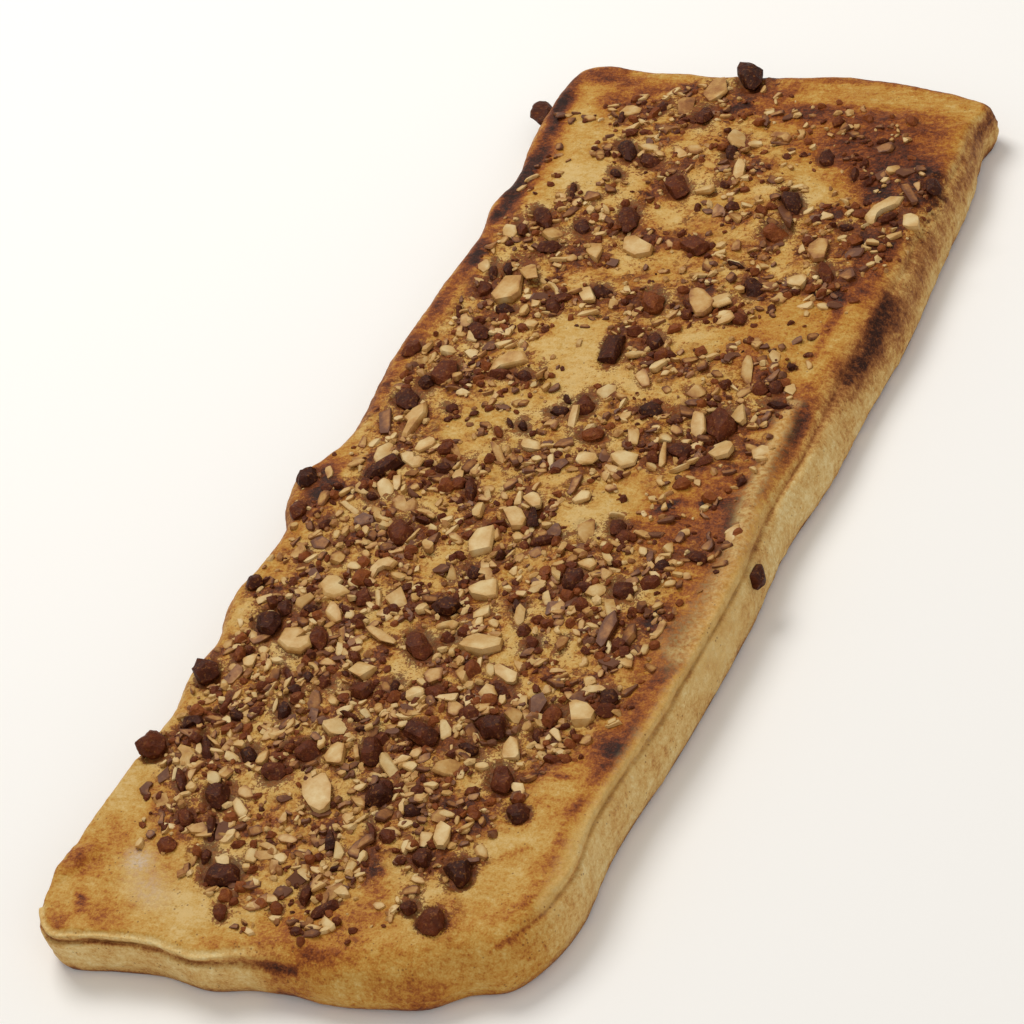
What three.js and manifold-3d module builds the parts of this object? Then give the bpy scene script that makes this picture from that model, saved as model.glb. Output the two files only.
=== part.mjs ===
// Coca: a long flat slab of sweet pastry, baked with chocolate chips and
// chopped almonds pressed into its glazed top.
// Millimetres, +Z up, length along Y, width along X, resting on z = 0.
import * as THREE from "three";
import { ConvexGeometry } from "three/addons/geometries/ConvexGeometry.js";
import { mergeVertices } from "three/addons/utils/BufferGeometryUtils.js";
import Module from "manifold-3d";

// ---- driving dimensions ----------------------------------------------------
const CRUST_TOP = 16.2; // height of the top crust in the middle of the slab
const NEAR_DROP = 2.4; // how much thinner the near end is
const FAR_DROP = 2.8; // how much thinner the far end is
const CROSS_SLOPE = 0.01; // rise of the top per mm across the width
const CLEARANCE = 0.3; // gap between a topping and its pocket in the crust
const SEGMENTS_LONG = 42; // facets along a long side
const SEGMENTS_SHORT = 16; // facets along an end
const TOP_ROWS = 3; // rings between the flat middle and the rounded edge
const ROUND_ANGLES = [0.2, 0.42, 0.62, 0.82, 1]; // parts of the quarter round
const GROOVE_ROW = 1; // the ring of the quarter round that the seam runs in
const WALL_ROWS = 3; // rings down the side

// Plan of the slab at its widest, anticlockwise from the near left corner.
const OUTLINE = {
  near: [
    [-62, -170.8], [-56.3, -176.8], [-43, -175.6], [-31, -174.6],
    [-18, -176.1], [-8, -173.9], [3, -173.2], [14, -173.5],
    [25, -171.6], [35, -169.2], [43, -163.5], [52.1, -159.9],
  ],
  right: [
    [52.1, -159.9], [57.8, -150.6], [60.6, -138], [59.7, -122],
    [60.4, -108], [62.7, -88], [64.3, -64], [65.1, -38],
    [64.3, -12], [67, 15], [67.8, 44], [69.3, 75],
    [68, 107], [67.2, 140], [64.4, 160.5], [65.4, 170.6],
  ],
  far: [
    [65.4, 170.6], [54.4, 176.2], [41.7, 180], [29.9, 182.6],
    [18.5, 183.9], [7.6, 182.4], [-4, 181.9], [-15, 182],
    [-23, 181.4], [-34.9, 183.1], [-47.5, 182.9], [-60.1, 184.6],
    [-69.4, 182.3],
  ],
  left: [
    [-69.4, 182.3], [-71.9, 170.1], [-69.6, 140.1], [-65.6, 119],
    [-68.2, 107], [-64.9, 92], [-66.9, 65.9], [-67.6, 32.1],
    [-64.5, -0.9], [-67.6, -11], [-70.8, -18.5], [-69.4, -28.5],
    [-64.9, -37], [-64.7, -52.8], [-66.3, -66], [-62.7, -81.5],
    [-64.2, -94], [-61.6, -107.1], [-63.9, -129.1], [-64.7, -152.8],
    [-62, -170.8],
  ],
};

// Corners of the flat middle, in the same order as the sides start.
const MIDDLE = [[-50, -160], [42, -150], [52, 158], [-56, 168]];

// Section of the edge along each side:
// [part of the side, rounding radius, height of the widest line, undercut].
const SECTION = {
  near: [
    [0, 3, 7.5, 1.6], [0.15, 2.6, 8, 1.6], [0.4, 3, 8, 1.8], [0.56, 8, 5.5, 2],
    [0.8, 10.5, 4.5, 1.6], [1, 9, 4.8, 1.8],
  ],
  right: [
    [0, 9, 4.8, 1.8], [0.08, 5, 6.5, 1.6], [0.38, 4.5, 6, 1.5], [0.47, 8, 5, 1.5],
    [0.6, 13, 4.5, 1.5], [0.74, 12, 4.5, 1.5], [0.88, 9, 4.8, 1.6], [0.97, 5, 5.5, 1.8], [1, 4, 6, 2],
  ],
  far: [[0, 4, 6, 2], [0.3, 6, 6, 2.2], [1, 6, 6, 2.2]],
  left: [[0, 6, 6, 2.2], [0.5, 6, 6.5, 2], [0.95, 4.5, 7, 1.8], [1, 3, 7.5, 1.6]],
};

// Depth of the seam between the folded top sheet and the lower sheet.
const SEAM = {
  near: [[0, 0.7], [0.42, 0.8], [0.56, 0.3], [0.66, 0], [1, 0]],
  right: [[0, 0], [0.08, 0.7], [0.4, 0.9], [0.5, 0.3], [0.6, 0], [1, 0]],
  far: [[0, 0], [1, 0]],
  left: [[0, 0], [0.9, 0], [1, 0.7]],
};

// Swells and hollows of the top crust: [x, y, radius, height].
const SWELLS = [
  [-38, -140, 16, 0.9], [-10, -150, 14, -0.7], [22, -140, 20, 1], [45, -118, 16, 0.8],
  [28, -105, 14, -0.9], [-30, -105, 18, 0.8], [0, -85, 20, 0.9], [40, -75, 16, -0.8],
  [-45, -65, 18, 1], [-12, -48, 16, -0.8], [22, -38, 20, 1], [50, -30, 14, -0.9],
  [-40, -15, 20, 0.9], [-5, 0, 18, 0.8], [32, 12, 18, -0.7], [-52, 30, 16, -0.8],
  [-22, 38, 20, 1], [12, 48, 18, 0.8], [45, 60, 18, 0.9], [-48, 78, 18, 0.9],
  [-15, 88, 16, -0.7], [18, 98, 20, 1], [48, 110, 14, -0.8], [-40, 120, 18, 0.8],
  [-8, 132, 18, 0.7], [28, 145, 18, 0.8], [50, 150, 14, 0.7], [-50, 155, 16, 0.7],
];

// The toppings: [name, shape, x, y, z of the middle, length, width, thickness, turn in degrees].
const TOPPINGS = [
  ["chocolate_chip_01", "lump", 33.8, -156.4, 16.5, 7.5, 6.1, 3.6, -18],
  ["chocolate_chip_02", "lump", -21.4, -152.8, 15.2, 9.2, 7.3, 3.9, -16],
  ["chocolate_chip_03", "tri", 35.9, -143, 17, 8.2, 6, 3.6, -57],
  ["chocolate_chip_04", "lump", -33.7, -130.6, 16, 9.9, 6, 3.7, 119],
  ["chocolate_chip_05", "lump", 6.1, -124.8, 17.5, 7.3, 6.5, 3.5, 1],
  ["chocolate_chip_06", "lump", -57.6, -120, 17, 8.4, 6.9, 4.5, -45],
  ["chocolate_chip_07", "lump", 32.3, -113.2, 16.7, 9.8, 5.5, 3.6, -58],
  ["chocolate_chip_08", "block", -1.9, -111.1, 17.5, 9.9, 4.8, 3.3, 111],
  ["chocolate_chip_09", "lump", 7.6, -103.8, 17.5, 9.9, 6.8, 3.9, -22],
  ["chocolate_chip_10", "lump", 22.9, -98.2, 16.9, 9.2, 6.9, 3.9, -11],
  ["chocolate_chip_11", "lump", -56.9, -93.8, 16.6, 8.6, 6.3, 4.2, 132],
  ["chocolate_chip_12", "oval", -5.9, -75.3, 17.1, 11.5, 6, 3.7, -53],
  ["chocolate_chip_13", "lump", -48.4, -75.2, 17.2, 9.9, 6.5, 3.5, 125],
  ["chocolate_chip_14", "oval", -59.1, -62, 17.4, 5.6, 4.4, 2.8, -40],
  ["chocolate_chip_15", "lump", -5.7, -60.1, 16.2, 7.6, 6.2, 3.1, -29],
  ["chocolate_chip_16", "lump", 22.8, -47.4, 17.5, 7, 6.5, 3.1, 69],
  ["chocolate_chip_17", "lump", -29.2, -37.3, 16.8, 9.7, 6.8, 3.4, -52],
  ["chocolate_chip_18", "lump", 64.7, -31.8, 11.7, 8.4, 4.2, 3.4, 101],
  ["chocolate_chip_19", "block", -44.4, -14, 17.2, 12.5, 5.8, 3.7, 59],
  ["chocolate_chip_20", "chip", -51.8, 15.5, 15.5, 9.1, 6.2, 2.9, -29],
  ["chocolate_chip_21", "lump", 38.2, 17, 16.1, 13.1, 8.2, 3.9, 115],
  ["chocolate_chip_22", "block", -46.1, 28.2, 15.4, 10.3, 6.5, 3.2, 95],
  ["chocolate_chip_23", "block", -1.5, 41.3, 17.7, 13.8, 5.7, 3.5, 99],
  ["chocolate_chip_24", "lump", 1.3, 63.6, 16.9, 12.8, 6.6, 3.5, 112],
  ["chocolate_chip_25", "block", 3.7, 89.8, 16.8, 10.9, 6.3, 3.1, -35],
  ["chocolate_chip_26", "chip", -45.6, 97.4, 17, 11.3, 5.8, 2.8, -53],
  ["chocolate_chip_27", "lump", -20.6, 100.7, 16.2, 13, 5.8, 3.1, 110],
  ["chocolate_chip_28", "chip", 24.7, 112.6, 17.4, 12.8, 5.3, 3, -57],
  ["chocolate_chip_29", "block", -12.2, 117.4, 16.5, 12.4, 6.3, 3.1, -58],
  ["chocolate_chip_30", "chip", -33.7, 133.3, 16.5, 14.1, 5.3, 2.9, -54],
  ["chocolate_chip_31", "lump", -75.1, 162.4, 7.5, 12.4, 7.3, 3.9, 120],
  ["chocolate_chip_32", "peak", -10.3, 176, 15.4, 14.1, 7.7, 4.4, -65],
  ["almond_piece_01", "wedge", 26.2, -132.5, 17.1, 10.2, 4.4, 1.9, 101],
  ["almond_piece_02", "half", -9.8, -127.1, 16.5, 11.1, 7.8, 2.2, 116],
  ["almond_piece_03", "half", -10.7, -114.7, 17, 8.4, 5.4, 1.8, 119],
  ["almond_piece_04", "wedge", 42.2, -88.9, 16.1, 9.3, 6.1, 2, -38],
  ["almond_piece_05", "block", -16.8, -86.7, 16.7, 8.5, 5.6, 1.8, -10],
  ["almond_piece_06", "notch", -38.7, -80.4, 17, 11.1, 8.1, 2.2, -42],
  ["almond_piece_07", "lens", -17.2, -73.8, 16.5, 12.8, 3.8, 1.8, -23],
  ["almond_piece_08", "flake", 9, -72.4, 17, 10.7, 8.3, 2.2, 17],
  ["almond_piece_09", "lens", 38.4, -62, 16.9, 13.1, 4, 1.9, 92],
  ["almond_piece_10", "notch", -37.3, -60.3, 17.1, 9.2, 6.5, 1.9, -51],
  ["almond_piece_11", "half", 0.7, -53.2, 15.7, 9.1, 6.5, 1.9, 117],
  ["almond_piece_12", "cresc", -29.1, -49.8, 16.6, 8.7, 5.9, 1.7, 54],
  ["almond_piece_13", "half", -7.2, -37.1, 15.8, 13.9, 6.1, 2.2, 109],
  ["almond_piece_14", "wedge", -1.4, -26.3, 16.6, 11.3, 5.6, 1.9, -52],
  ["almond_piece_15", "wedge", 18.7, -0.7, 16.6, 7, 6.3, 1.6, 83],
  ["almond_piece_16", "spoon", -45.3, 5.8, 16.1, 14.2, 7.4, 2.2, 91],
  ["almond_piece_17", "cresc", -29.6, 34, 16.7, 11.3, 7.7, 2.1, 25],
  ["almond_piece_18", "wedge", -43.1, 63.5, 16.6, 14.8, 8.1, 2.2, 99],
  ["almond_piece_19", "drop", 13.3, 65.9, 17, 16.3, 7.3, 2.2, -58],
  ["almond_piece_20", "wedge", 39.1, 76.2, 17.4, 7.9, 6, 1.5, -34],
  ["almond_piece_21", "drop", -23.7, 84.3, 15.7, 11.8, 5.4, 1.6, 113],
  ["almond_piece_22", "wedge", -12.6, 88.8, 15.8, 12.2, 7.9, 2, -38],
  ["almond_piece_23", "wedge", 39.7, 91.2, 17.4, 12.4, 6.2, 1.9, 106],
  ["almond_piece_24", "star", 60.6, 107.6, 16.6, 10, 6.2, 1.7, -50],
  ["almond_piece_25", "cresc", 50, 111.8, 16.5, 13.4, 6.9, 2.1, 61],
];

// Plans of the toppings in a unit box, anticlockwise, length along x.
const PLANS = {
  oval: [[-0.5, 0.02], [-0.36, -0.34], [-0.02, -0.5], [0.34, -0.38], [0.5, 0.03], [0.36, 0.36], [0.02, 0.5], [-0.38, 0.32]],
  lump: [[-0.5, -0.06], [-0.3, -0.42], [0.08, -0.5], [0.4, -0.3], [0.5, 0.1], [0.3, 0.42], [-0.06, 0.5], [-0.42, 0.28]],
  chip: [[-0.5, -0.14], [-0.14, -0.46], [0.34, -0.5], [0.5, -0.02], [0.24, 0.42], [-0.16, 0.5], [-0.4, 0.26]],
  block: [[-0.5, -0.4], [0.06, -0.5], [0.46, -0.36], [0.5, 0.3], [0.36, 0.48], [-0.36, 0.5], [-0.48, 0.2]],
  tri: [[-0.5, -0.38], [-0.36, -0.5], [0.36, -0.16], [0.5, 0.02], [0.3, 0.22], [-0.36, 0.5], [-0.5, 0.34]],
  peak: [[-0.5, -0.3], [-0.2, -0.5], [0.26, -0.4], [0.5, -0.04], [0.32, 0.34], [-0.12, 0.5], [-0.42, 0.22]],
  wedge: [[-0.5, -0.2], [-0.2, -0.5], [0.4, -0.34], [0.5, 0.12], [0.24, 0.46], [-0.16, 0.5], [-0.44, 0.2]],
  half: [[-0.48, -0.42], [0.46, -0.5], [0.5, -0.16], [0.32, 0.32], [0.02, 0.5], [-0.34, 0.34], [-0.5, 0]],
  drop: [[-0.5, 0], [-0.2, -0.26], [0.16, -0.5], [0.42, -0.36], [0.5, 0.02], [0.4, 0.36], [0.12, 0.5], [-0.22, 0.26]],
  lens: [[-0.5, 0], [-0.24, -0.38], [0.16, -0.5], [0.42, -0.24], [0.5, 0.06], [0.26, 0.4], [-0.1, 0.5], [-0.38, 0.26]],
  shard: [[-0.5, -0.1], [-0.16, -0.5], [0.3, -0.4], [0.5, 0.24], [0.1, 0.5], [-0.34, 0.38]],
  flake: [[-0.5, -0.12], [-0.3, -0.44], [0.16, -0.5], [0.46, -0.28], [0.5, 0.2], [0.18, 0.5], [-0.3, 0.44]],
  star: [[-0.5, 0.1], [-0.3, -0.3], [0.1, -0.5], [0.4, -0.3], [0.5, 0.16], [0.14, 0.5], [-0.2, 0.4]],
  cresc: [[-0.5, -0.2], [-0.4, -0.5], [-0.18, -0.3], [0.1, -0.22], [0.32, -0.46], [0.5, -0.3], [0.42, 0.22], [0.06, 0.5], [-0.34, 0.3]],
  notch: [[-0.5, -0.1], [-0.26, -0.5], [0.26, -0.46], [0.5, -0.06], [0.4, 0.42], [0.16, 0.5], [0.02, 0.18], [-0.14, 0.46], [-0.4, 0.36]],
  spoon: [[-0.5, -0.16], [0.02, -0.22], [0.18, -0.5], [0.42, -0.34], [0.5, 0.04], [0.38, 0.42], [0.12, 0.5], [-0.02, 0.2], [-0.48, 0.12]],
};
const NOTCHED = ["cresc", "notch", "spoon"];

// ---- the shape of the slab -------------------------------------------------
const smooth = (u) => {
  const v = THREE.MathUtils.clamp(u, 0, 1);
  return v * v * (3 - 2 * v);
};

function crustHeight(x, y) {
  let z = CRUST_TOP + CROSS_SLOPE * x;
  z -= NEAR_DROP * smooth((-y - 105) / 70) * (1 - (0.45 * (x + 65)) / 130);
  z -= FAR_DROP * smooth((y - 120) / 60);
  z += 0.5 * Math.sin(x / 17 + 1.3) * Math.sin(y / 23 + 0.4);
  z += 0.35 * Math.sin(x / 9 - 0.7 + y / 31) * Math.sin(y / 11);
  for (const [sx, sy, r, h] of SWELLS)
    z += h * Math.exp(-((x - sx) ** 2 + (y - sy) ** 2) / (r * r));
  return z;
}

function table(rows, t, column) {
  for (let i = 1; i < rows.length; i++)
    if (t <= rows[i][0]) {
      const f = (t - rows[i - 1][0]) / (rows[i][0] - rows[i - 1][0]);
      return rows[i - 1][column] + f * (rows[i][column] - rows[i - 1][column]);
    }
  return rows[rows.length - 1][column];
}

const SIDES = ["near", "right", "far", "left"];

// One closed curve through the whole plan, then equal steps along each side.
function edgeStations() {
  const points = [];
  const starts = [];
  for (const side of SIDES) {
    starts.push(points.length);
    for (const [x, y] of OUTLINE[side].slice(0, -1)) points.push(new THREE.Vector3(x, y, 0));
  }
  starts.push(points.length);
  const curve = new THREE.CatmullRomCurve3(points, true, "centripetal");
  const stations = [];
  SIDES.forEach((side, k) => {
    const line = [];
    const steps = (starts[k + 1] - starts[k]) * 24;
    for (let i = 0; i <= steps; i++) {
      const u = (starts[k] + i / 24) / points.length;
      line.push(curve.getPoint(u >= 1 ? u - 1 : u));
    }
    const along = [0];
    for (let i = 1; i < line.length; i++) along.push(along[i - 1] + line[i].distanceTo(line[i - 1]));
    const total = along[along.length - 1];
    const count = k % 2 ? SEGMENTS_LONG : SEGMENTS_SHORT;
    const [ax, ay] = MIDDLE[k];
    const [bx, by] = MIDDLE[(k + 1) % 4];
    for (let i = 0, j = 1; i < count; i++) {
      const t = i / count;
      while (along[j] < t * total) j++;
      const f = (t * total - along[j - 1]) / (along[j] - along[j - 1]);
      stations.push({
        outer: line[j - 1].clone().lerp(line[j], f),
        inner: new THREE.Vector3(ax + (bx - ax) * t, ay + (by - ay) * t, 0),
        round: table(SECTION[side], t, 1),
        widest: table(SECTION[side], t, 2),
        tuck: table(SECTION[side], t, 3),
        seam: table(SEAM[side], t, 1),
      });
    }
  });
  return stations;
}

function slabGeometry() {
  const positions = [];
  const faces = [];
  const vertex = (x, y, z) => positions.push(x, y, z) / 3 - 1;
  const quad = (a, b, c, d) => faces.push(a, b, c, a, c, d);

  // the middle of the top, a grid of nearly square fields
  const grid = [];
  for (let j = 0; j <= SEGMENTS_LONG; j++) {
    const row = [];
    const v = j / SEGMENTS_LONG;
    for (let i = 0; i <= SEGMENTS_SHORT; i++) {
      const u = i / SEGMENTS_SHORT;
      const x = (1 - v) * ((1 - u) * MIDDLE[0][0] + u * MIDDLE[1][0]) + v * ((1 - u) * MIDDLE[3][0] + u * MIDDLE[2][0]);
      const y = (1 - v) * ((1 - u) * MIDDLE[0][1] + u * MIDDLE[1][1]) + v * ((1 - u) * MIDDLE[3][1] + u * MIDDLE[2][1]);
      row.push(vertex(x, y, crustHeight(x, y)));
    }
    grid.push(row);
  }
  for (let j = 0; j < SEGMENTS_LONG; j++)
    for (let i = 0; i < SEGMENTS_SHORT; i++) quad(grid[j][i], grid[j][i + 1], grid[j + 1][i + 1], grid[j + 1][i]);

  let ring = [];
  for (let i = 0; i < SEGMENTS_SHORT; i++) ring.push(grid[0][i]);
  for (let j = 0; j < SEGMENTS_LONG; j++) ring.push(grid[j][SEGMENTS_SHORT]);
  for (let i = SEGMENTS_SHORT; i > 0; i--) ring.push(grid[SEGMENTS_LONG][i]);
  for (let j = SEGMENTS_LONG; j > 0; j--) ring.push(grid[j][0]);

  const stations = edgeStations();
  const addRing = (place) => {
    const next = stations.map((s) => {
      const span = s.outer.distanceTo(s.inner);
      const { depth, height } = place(s, span);
      const p = s.outer.clone().lerp(s.inner, depth / span);
      return vertex(p.x, p.y, height(p));
    });
    next.forEach((n, i) => {
      const j = (i + 1) % next.length;
      quad(n, next[j], ring[j], ring[i]);
    });
    ring = next;
  };

  for (let r = 1; r <= TOP_ROWS; r++)
    addRing((s, span) => ({
      depth: span + (s.round - span) * (r / TOP_ROWS),
      height: (p) => crustHeight(p.x, p.y),
    }));
  ROUND_ANGLES.forEach((part, row) =>
    addRing((s) => {
      const angle = (part * Math.PI) / 2;
      const sunk = row === GROOVE_ROW ? s.seam : 0;
      return {
        depth: s.round * (1 - Math.sin(angle)) + sunk * Math.sin(angle),
        height: (p) => s.widest + (crustHeight(p.x, p.y) - s.widest) * Math.cos(angle) - sunk * Math.cos(angle),
      };
    }),
  );
  for (let r = 1; r <= WALL_ROWS; r++) {
    const down = r / WALL_ROWS;
    addRing((s) => ({
      depth: s.tuck * down ** 2.2,
      height: () => s.widest * (1 - down),
    }));
  }

  // the flat underside
  const contour = ring.map((i) => new THREE.Vector2(positions[3 * i], positions[3 * i + 1]));
  for (const [a, b, c] of THREE.ShapeUtils.triangulateShape(contour, [])) faces.push(ring[a], ring[c], ring[b]);

  const geometry = new THREE.BufferGeometry();
  geometry.setAttribute("position", new THREE.Float32BufferAttribute(positions, 3));
  geometry.setIndex(faces);
  return geometry;
}

// ---- the shape of a topping ------------------------------------------------
// A chip of chocolate is a domed lump; a piece of almond is a flat chopped slice.
function toppingGeometry(name, shape, length, width, thickness) {
  const chocolate = name.startsWith("chocolate");
  const plan = PLANS[shape].map(([x, y]) => new THREE.Vector2(x * length, y * width));
  if (NOTCHED.includes(shape)) {
    const bevel = 0.22 * thickness;
    const geometry = new THREE.ExtrudeGeometry(new THREE.Shape(plan), {
      depth: thickness - 2 * bevel,
      bevelEnabled: true,
      bevelThickness: bevel,
      bevelSize: 0.35,
      bevelOffset: -0.35,
      bevelSegments: 1,
    });
    return geometry.translate(0, 0, bevel - thickness / 2);
  }
  const levels = chocolate
    ? [[-0.5, 0.62], [-0.12, 1], [0.28, 0.82], [0.5, 0.42]]
    : [[-0.5, 0.78], [-0.1, 1], [0.5, 0.8]];
  const points = [];
  levels.forEach(([height, scale], row) =>
    plan.forEach((p, i) => {
      const dent = 1 - 0.05 * ((i * 5 + row * 3) % 4);
      points.push(new THREE.Vector3(p.x * scale * dent, p.y * scale * dent, height * thickness * (chocolate && row === 3 && i % 2 ? 0.88 : 1)));
    }),
  );
  return new ConvexGeometry(points);
}

// ---- solids ----------------------------------------------------------------
const wasm = await Module();
wasm.setup();

function toSolid(geometry) {
  const bare = geometry.clone();
  bare.deleteAttribute("normal");
  bare.deleteAttribute("uv");
  const merged = mergeVertices(bare, 1e-4);
  return new wasm.Manifold(
    new wasm.Mesh({
      numProp: 3,
      vertProperties: new Float32Array(merged.attributes.position.array),
      triVerts: new Uint32Array(merged.index.array),
    }),
  );
}

function toGeometry(solid) {
  const mesh = solid.getMesh();
  const geometry = new THREE.BufferGeometry();
  geometry.setAttribute("position", new THREE.BufferAttribute(new Float32Array(mesh.vertProperties), 3));
  geometry.setIndex(new THREE.BufferAttribute(new Uint32Array(mesh.triVerts), 1));
  geometry.computeVertexNormals();
  return geometry;
}

// A topping leans with the crust it lies on.
function placement(x, y, z, turn) {
  const sx = (crustHeight(x + 2, y) - crustHeight(x - 2, y)) / 4;
  const sy = (crustHeight(x, y + 2) - crustHeight(x, y - 2)) / 4;
  const lean = new THREE.Quaternion().setFromUnitVectors(
    new THREE.Vector3(0, 0, 1),
    new THREE.Vector3(-sx, -sy, 1).normalize(),
  );
  const spin = new THREE.Quaternion().setFromAxisAngle(new THREE.Vector3(0, 0, 1), THREE.MathUtils.degToRad(turn));
  return new THREE.Matrix4().compose(new THREE.Vector3(x, y, z), lean.multiply(spin), new THREE.Vector3(1, 1, 1));
}

const group = new THREE.Group();
group.name = "coca_pastry";

const crustMaterial = new THREE.MeshStandardMaterial({ color: 0xc08a40, roughness: 0.55, metalness: 0 });
let slab = toSolid(slabGeometry());
const toppings = [];
for (const [name, shape, x, y, z, length, width, thickness, turn] of TOPPINGS) {
  const at = placement(x, y, z, turn);
  const plain = toppingGeometry(name, shape, length, width, thickness);
  const grown = plain
    .clone()
    .scale(1 + (2 * CLEARANCE) / length, 1 + (2 * CLEARANCE) / width, 1 + (2 * CLEARANCE) / thickness)
    .applyMatrix4(at);
  slab = slab.subtract(toSolid(grown));
  toppings.push([name, toSolid(plain.applyMatrix4(at))]);
}

const crust = new THREE.Mesh(toGeometry(slab), crustMaterial);
crust.name = "pastry_dough";
group.add(crust);
for (const [name, solid] of toppings) {
  const chocolate = name.startsWith("chocolate");
  const mesh = new THREE.Mesh(
    toGeometry(solid),
    new THREE.MeshStandardMaterial({
      color: chocolate ? 0x2c140a : 0xdcb878,
      roughness: chocolate ? 0.4 : 0.6,
      metalness: 0,
    }),
  );
  mesh.name = name;
  group.add(mesh);
}

// the origin is the middle of the footprint, on the plane it rests on
const extent = new THREE.Box3().setFromObject(group);
group.position.set(-(extent.min.x + extent.max.x) / 2, -(extent.min.y + extent.max.y) / 2, -extent.min.z);

export default group;
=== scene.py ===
import math

import bmesh
import bpy
import numpy as np
from mathutils import Matrix, Vector
from mathutils.bvhtree import BVHTree


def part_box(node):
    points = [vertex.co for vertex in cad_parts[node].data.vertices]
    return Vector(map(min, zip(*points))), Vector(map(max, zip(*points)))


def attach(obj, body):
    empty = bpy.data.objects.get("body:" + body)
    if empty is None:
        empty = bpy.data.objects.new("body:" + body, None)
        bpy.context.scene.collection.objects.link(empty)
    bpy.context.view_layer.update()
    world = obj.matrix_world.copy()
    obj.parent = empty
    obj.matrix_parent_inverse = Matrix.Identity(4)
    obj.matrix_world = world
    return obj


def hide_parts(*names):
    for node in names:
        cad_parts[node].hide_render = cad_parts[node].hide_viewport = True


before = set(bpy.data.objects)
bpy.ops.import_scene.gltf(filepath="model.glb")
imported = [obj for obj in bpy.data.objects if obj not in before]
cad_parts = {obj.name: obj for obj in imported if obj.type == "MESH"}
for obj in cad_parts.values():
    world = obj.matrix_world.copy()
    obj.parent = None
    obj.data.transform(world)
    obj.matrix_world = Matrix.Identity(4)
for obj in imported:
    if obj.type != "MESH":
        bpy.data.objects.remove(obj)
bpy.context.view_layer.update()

# ---- the slab's plan and section, in millimetres in its own working frame ----
OUTLINE = {
    "near": [(-62.0, -170.8), (-56.3, -176.8), (-43.0, -175.6), (-31.0, -174.6), (-18.0, -176.1), (-8.0, -173.9), (3.0, -173.2), (14.0, -173.5), (25.0, -171.6), (35.0, -169.2), (43.0, -163.5), (52.1, -159.9)],
    "right": [(52.1, -159.9), (57.8, -150.6), (60.6, -138.0), (59.7, -122.0), (60.4, -108.0), (62.7, -88.0), (64.3, -64.0), (65.1, -38.0), (64.3, -12.0), (67.0, 15.0), (67.8, 44.0), (69.3, 75.0), (68.0, 107.0), (67.2, 140.0), (64.4, 160.5), (65.4, 170.6)],
    "far": [(65.4, 170.6), (54.4, 176.2), (41.7, 180.0), (29.9, 182.6), (18.5, 183.9), (7.6, 182.4), (-4.0, 181.9), (-15.0, 182.0), (-23.0, 181.4), (-34.9, 183.1), (-47.5, 182.9), (-60.1, 184.6), (-69.4, 182.3)],
    "left": [(-69.4, 182.3), (-71.9, 170.1), (-69.6, 140.1), (-65.6, 119.0), (-68.2, 107.0), (-64.9, 92.0), (-66.9, 65.9), (-67.6, 32.1), (-64.5, -0.9), (-67.6, -11.0), (-70.8, -18.5), (-69.4, -28.5), (-64.9, -37.0), (-64.7, -52.8), (-66.3, -66.0), (-62.7, -81.5), (-64.2, -94.0), (-61.6, -107.1), (-63.9, -129.1), (-64.7, -152.8), (-62.0, -170.8)],
}
SIDES = ["near", "right", "far", "left"]
MIDDLE = [(-50.0, -160.0), (42.0, -150.0), (52.0, 158.0), (-56.0, 168.0)]
SECTION = {
    "near": [(0, 3, 7.5, 1.6), (0.15, 2.6, 8, 1.6), (0.4, 3, 8, 1.8), (0.56, 8, 5.5, 2), (0.8, 10.5, 4.5, 1.6), (1, 9, 4.8, 1.8)],
    "right": [(0, 9, 4.8, 1.8), (0.08, 5, 6.5, 1.6), (0.38, 4.5, 6, 1.5), (0.47, 8, 5, 1.5), (0.6, 13, 4.5, 1.5), (0.74, 12, 4.5, 1.5), (0.88, 9, 4.8, 1.6), (0.97, 5, 5.5, 1.8), (1, 4, 6, 2)],
    "far": [(0, 4, 6, 2), (0.3, 6, 6, 2.2), (1, 6, 6, 2.2)],
    "left": [(0, 6, 6, 2.2), (0.5, 6, 6.5, 2), (0.95, 4.5, 7, 1.8), (1, 3, 7.5, 1.6)],
}
SEAM = {
    "near": [(0, 1.7), (0.42, 1.7), (0.56, 0.5), (0.66, 0), (1, 0)],
    "right": [(0, 0), (0.06, 0.7), (0.4, 0.9), (0.52, 0.45), (0.6, 0.5), (0.9, 0.5), (0.97, 0)],
    "far": [(0, 0), (1, 0)],
    "left": [(0, 0), (0.9, 0), (1, 1.0)],
}
SWELLS = [(-38, -140, 16, 0.9), (-10, -150, 14, -0.7), (22, -140, 20, 1.0), (45, -118, 16, 0.8), (28, -105, 14, -0.9), (-30, -105, 18, 0.8), (0, -85, 20, 0.9), (40, -75, 16, -0.8), (-45, -65, 18, 1.0), (-12, -48, 16, -0.8), (22, -38, 20, 1.0), (50, -30, 14, -0.9), (-40, -15, 20, 0.9), (-5, 0, 18, 0.8), (32, 12, 18, -0.7), (-52, 30, 16, -0.8), (-22, 38, 20, 1.0), (12, 48, 18, 0.8), (45, 60, 18, 0.9), (-48, 78, 18, 0.9), (-15, 88, 16, -0.7), (18, 98, 20, 1.0), (48, 110, 14, -0.8), (-40, 120, 18, 0.8), (-8, 132, 18, 0.7), (28, 145, 18, 0.8), (50, 150, 14, 0.7), (-50, 155, 16, 0.7)]

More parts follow.
